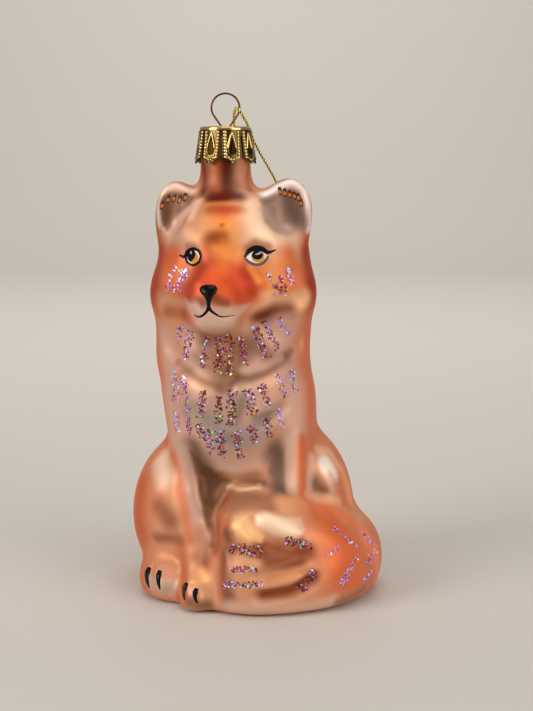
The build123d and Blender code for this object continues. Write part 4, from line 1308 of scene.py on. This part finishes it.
# Glitter strokes: start and end in the picture, width in pixels, share of lilac flakes
CHEEK_GLITTER = [
    ((176, 266), (166, 291), 4, 0.9), ((183, 269), (173, 293), 4, 0.9), ((187, 270), (178, 290), 5, 0.85),
    ((267, 273), (272, 283), 5, 0.7), ((274, 284), (284, 294), 7, 0.2), ((288, 269), (293, 284), 6, 0.7),
    ((280, 276), (286, 290), 6, 0.2),
]
CHEST_GLITTER = [
    ((180, 325), (177, 342), 6, 0.85), ((190, 330), (186, 360), 7, 0.35), ((206, 336), (203, 368), 6, 0.12),
    ((219, 336), (219, 372), 8, 0.1), ((229, 334), (230, 374), 8, 0.1), ((240, 337), (246, 366), 7, 0.2),
    ((255, 328), (266, 358), 8, 0.15), ((263, 322), (278, 350), 6, 0.4), ((278, 318), (288, 336), 6, 0.85),
    ((175, 370), (176, 402), 6, 0.9), ((183, 376), (188, 412), 6, 0.5), ((204, 390), (200, 418), 7, 0.12),
    ((219, 396), (219, 424), 7, 0.12), ((232, 390), (231, 426), 8, 0.12), ((248, 390), (253, 416), 9, 0.2),
    ((262, 384), (268, 408), 8, 0.2), ((277, 374), (285, 398), 6, 0.8), ((291, 370), (295, 392), 6, 0.8),
    ((176, 412), (178, 434), 5, 0.9), ((187, 418), (190, 436), 6, 0.5), ((199, 424), (204, 442), 7, 0.2),
    ((207, 430), (212, 454), 6, 0.5), ((220, 430), (222, 458), 8, 0.2), ((236, 432), (241, 458), 8, 0.3),
    ((250, 426), (256, 442), 9, 0.12), ((266, 418), (270, 438), 8, 0.3), ((278, 408), (284, 428), 5, 0.85),
]
TAIL_GLITTER = [
    ((230, 549), (263, 552), 10, 0.1), ((286, 540), (313, 546), 8, 0.15), ((232, 570), (257, 569), 7, 0.2),
    ((224, 585), (264, 584), 6, 0.5), ((300, 590), (315, 570), 9, 0.1), ((333, 528), (356, 545), 4, 0.95),
    ((326, 555), (340, 547), 4, 0.95), ((342, 585), (356, 558), 6, 0.9), ((362, 532), (374, 545), 5, 0.95),
    ((367, 562), (376, 550), 5, 0.95), ((363, 582), (374, 568), 4, 0.95),
]

# Larger flakes that catch the light: place in the picture, colour
CHEEK_SPARKS = [
    (169.6, 275, "white"), (184.4, 272, "white"), (179.4, 270.6, "lime"), (186, 270, "ice"),
    (267.8, 275, "white"), (287.9, 268.8, "ice"), (287.9, 276, "white"), (291, 280, "lilac"),
    (285.4, 294.8, "ice"), (275.6, 294, "lilac"),
]
CHEST_SPARKS = [
    (204.9, 344, "green"), (202.7, 361, "green"), (202.3, 357, "ice"), (220.9, 372.6, "green"),
    (230.8, 374, "lime"), (229.2, 356, "lime"), (229.7, 363, "yellow"), (205.7, 397, "lime"),
    (220.7, 416, "green"), (216.5, 416, "green"), (231.1, 406, "green"), (212.5, 432, "green"),
    (267.5, 425.5, "green"), (218.2, 443.5, "ice"), (177.4, 335, "white"), (174.4, 372, "white"),
    (178.5, 401.5, "white"), (253.3, 397, "white"), (251.3, 392, "lilac"), (276.7, 383, "white"),
    (260, 390.5, "white"), (252.5, 327.5, "ice"), (227.2, 334.4, "lime"), (239.4, 339, "ice"),
    (218.2, 337, "lilac"), (184.7, 378, "ice"), (277.3, 415, "ice"), (236.4, 445, "ice"),
    (256.7, 441.5, "white"), (268.5, 328.5, "lilac"),
]
TAIL_SPARKS = [
    (239.2, 546.5, "green"), (245.3, 553.4, "green"), (303, 543.8, "green"), (250, 566.5, "yellow"),
    (252.5, 568, "white"), (245.3, 584.3, "green"), (312.1, 570.4, "ice"), (309.4, 573, "lilac"),
    (230.7, 568.3, "lilac"), (224.5, 584.3, "lilac"), (356, 546, "lilac"), (342.5, 584.5, "ice"),
    (369.5, 563, "lilac"),
]


# Glitter pieces: name, strokes, larger flakes, seed of the scatter
GLITTER = [
    ("glitter_cheeks", CHEEK_GLITTER, CHEEK_SPARKS, 3),
    ("glitter_chest", CHEST_GLITTER, CHEST_SPARKS, 5),
    ("glitter_tail", TAIL_GLITTER, TAIL_SPARKS, 7),
]


def glitter(tree, name, strokes, sparks, seed, material):
    """Foil flakes scattered along strokes of glue, each a little tilted, and a few larger ones."""
    chance = random.Random(seed)
    leave_edit()
    bpy.ops.mesh.primitive_circle_add(vertices=FLAKE_CORNERS, radius=1.0, fill_type="NGON")
    flakes = last_made(name)
    shape = points_of(flakes)
    points = []
    faces = []
    colours = []

    def lay_flake(px, py, size, height, pigment):
        place, normal = seen_at(tree, px, py)
        tilt = Vector([chance.gauss(0, FLAKE_TILT) for _ in range(3)])
        facing = (Vector(normal) + tilt).to_track_quat("Z", "Y").to_matrix()
        turn = Matrix.Rotation(chance.random() * math.pi, 3, "Z")
        start = len(points)
        points.extend((shape * size * MM) @ np.array(facing @ turn).T + place + normal * height * MM)
        faces.append(tuple(range(start, start + len(shape))))
        shade = linear(FLAKE_COLOURS[pigment]) * chance.uniform(*FLAKE_SHADES)
        colours.extend([np.clip(shade, 0, 1)] * len(shape))

    for (x0, y0), (x1, y1), width, lilac in strokes:
        length = math.hypot(x1 - x0, y1 - y0)
        for _ in range(int(FLAKES_PER_PIXEL * length * width)):
            along = chance.random() ** FLAKE_CROWDING
            aside = chance.triangular(-FLAKE_SPREAD, FLAKE_SPREAD) * width
            px = x0 + along * (x1 - x0) - aside * (y1 - y0) / length
            py = y0 + along * (y1 - y0) + aside * (x1 - x0) / length
            kinds, shares = COOL_FLAKES if chance.random() < lilac else WARM_FLAKES
            pigment = chance.choices(kinds, shares)[0]
            lay_flake(px, py, chance.uniform(*FLAKE_SIZES), chance.uniform(*FLAKE_HEIGHTS), pigment)
    for px, py, pigment in sparks:
        lay_flake(px, py, chance.uniform(*SPARK_SIZES), SPARK_HEIGHT, pigment)
    mesh = bpy.data.meshes.new(name)
    mesh.from_pydata([tuple(point) for point in points], [], faces)
    colour_points(mesh, "foil", np.array(colours))
    flakes.data = mesh
    return finish_piece(flakes, "glass", material)


# Crown cap

def cap_profile():
    """Half section of the cap from its hole to the tip of a claw: radius, height."""
    edge_top = CAP_TOP - CAP_EDGE_ROUND
    profile = [(HOLE_RADIUS + share * (CAP_RADIUS - CAP_EDGE_ROUND - HOLE_RADIUS), CAP_TOP)
               for share in np.linspace(0, 1, TOP_STEPS)]
    for turn in np.linspace(0, math.pi / 2, EDGE_STEPS)[1:]:
        profile.append((CAP_RADIUS - CAP_EDGE_ROUND * (1 - math.sin(turn)),
                        edge_top + CAP_EDGE_ROUND * math.cos(turn)))
    for share in np.linspace(0, 1, SKIRT_STEPS)[1:]:
        sag = 4 * SKIRT_CURVE * share * (1 - share)
        profile.append((CAP_RADIUS + share * SKIRT_FLARE - sag, edge_top + share * (CAP_TIP - edge_top)))
    return np.array(profile)


def bead(distance, radius):
    """Height of a pressed bead."""
    return np.sqrt(np.clip(1 - (distance / radius) ** 2, 0, 1))


def stamped_relief(across, down):
    """Pressed pattern of one claw: beads down both edges and along the foot, a ridge round a sunk drop."""
    relief = np.zeros_like(across)
    for side in (-1, 1):
        for row in np.arange(*BEAD_ROWS):
            away = np.hypot(across - side * BEAD_ASIDE, down - row)
            relief = np.maximum(relief, BEAD_HEIGHT * bead(away, BEAD_RADIUS))
    for place, row in FOOT_BEADS:
        away = np.hypot(across - place, down - row)
        relief = np.maximum(relief, FOOT_BEAD_HEIGHT * bead(away, FOOT_BEAD_RADIUS))
    field = np.interp(down, *zip(*FIELD_OUTLINE))
    within = (down > FIELD_OUTLINE[0][0]) & (down < FIELD_OUTLINE[-1][0])
    ridge = RIDGE_HEIGHT * within * (down < RIDGE_END) * bead(np.abs(across) - field, RIDGE_RADIUS)
    sunk = FIELD_DEPTH * within * ramp(field - np.abs(across), *FIELD_EDGE)
    return np.maximum(relief, ridge) - sunk


def stamped_claw(claw, profile):
    """One claw of the cap as a sheet, pressed, with painted highlights and dark reflection in its colour."""
    rows = len(profile)
    down = np.clip(CAP_TOP - CAP_EDGE_ROUND - profile[:, 1], 0, None)
    slope = np.gradient(profile, axis=0)
    slope /= np.linalg.norm(slope, axis=1)[:, None]
    outward = np.stack([-slope[:, 1], slope[:, 0]], axis=1)
    half = math.pi / CLAW_COUNT
    slit = SLIT_HALF_WIDTH * ramp(down, *SLIT_START)
    half_width = (half * profile[:, 0] - slit) * np.interp(down, *zip(*CLAW_OUTLINE))
    leave_edit()
    bpy.ops.mesh.primitive_grid_add(x_subdivisions=CLAW_COLUMNS - 1, y_subdivisions=rows - 1, size=2.0)
    piece = last_made("claw")
    points = points_of(piece)
    row = np.clip(np.round((points[:, 1] + 1) / 2 * (rows - 1)).astype(int), 0, rows - 1)
    pressed = down[row] > PLAIN_DEPTH
    across = points[:, 0] * half_width[row]
    relief = stamped_relief(across, down[row]) * pressed
    radius = profile[row, 0] + outward[row, 0] * relief
    height = profile[row, 1] + outward[row, 1] * relief
    angle = across / profile[row, 0] + math.radians(CLAW_TURN) + claw * 2 * half
    move_points(piece, np.stack([radius * np.sin(angle), -radius * np.cos(angle), height], axis=1) * MM)
    # Painted highlights on the beads, painted dark reflection in the sunk drop and towards the tip
    shade = np.interp(relief, *zip(*PAINTED_LIGHT_BY_RELIEF)) * np.interp(down[row], *zip(*PAINTED_DARK_TOWARDS_TIP))
    shade = np.where(pressed, shade, PAINTED_LIGHT_ON_PLAIN_TOP)
    tone = linear(CAP_DARK) + shade[:, None] * (linear(CAP_GOLD) - linear(CAP_DARK))
    colour_points(piece.data, "painted_highlight_and_reflection", tone)
    return piece


def crown_cap():
    """Stamped cap: eight claws in one sheet, each with its pressed pattern."""
    profile = cap_profile()
    cap = joined([stamped_claw(claw, profile) for claw in range(CLAW_COUNT)], "crown_cap_stamped")
    work_on_all(cap)
    bpy.ops.mesh.remove_doubles(threshold=CLAW_WELD * MM)
    bpy.ops.mesh.normals_make_consistent(inside=False)
    leave_edit()
    top = points_of(cap)[:, 2] > (CAP_TOP - TOP_SLACK) * MM
    if normals_of(cap)[top, 2].mean() < 0:
        cap.data.flip_normals()
    apply_modifier(cap, "SOLIDIFY", thickness=CAP_SHEET * MM, offset=-1)
    # The gold's colour holds its painted highlights and dark reflection
    gold = metal_material("stamped_gold", "painted_highlight_and_reflection", rough=(0.14, 0.24))
    finish_piece(cap, "cap", gold)
    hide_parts("crown_cap")


def hanger_wire():
    """The wire keeps its own shape and gets bright spring wire's finish."""
    wire = frame["nodes"]["hanger_wire"]
    wire.data.materials.clear()
    wire.data.materials.append(metal_material("spring_wire", linear(WIRE_BRONZE), rough=(0.2, 0.32)))


place_camera()
studio()
hanging_cord()
skin = fox_body()
painted_face(skin)
foil_finish = glitter_material()
for piece, strokes, sparks, seed in GLITTER:
    glitter(skin, piece, strokes, sparks, seed, foil_finish)
crown_cap()
hanger_wire()

bpy.context.scene.view_settings.view_transform = "Standard"
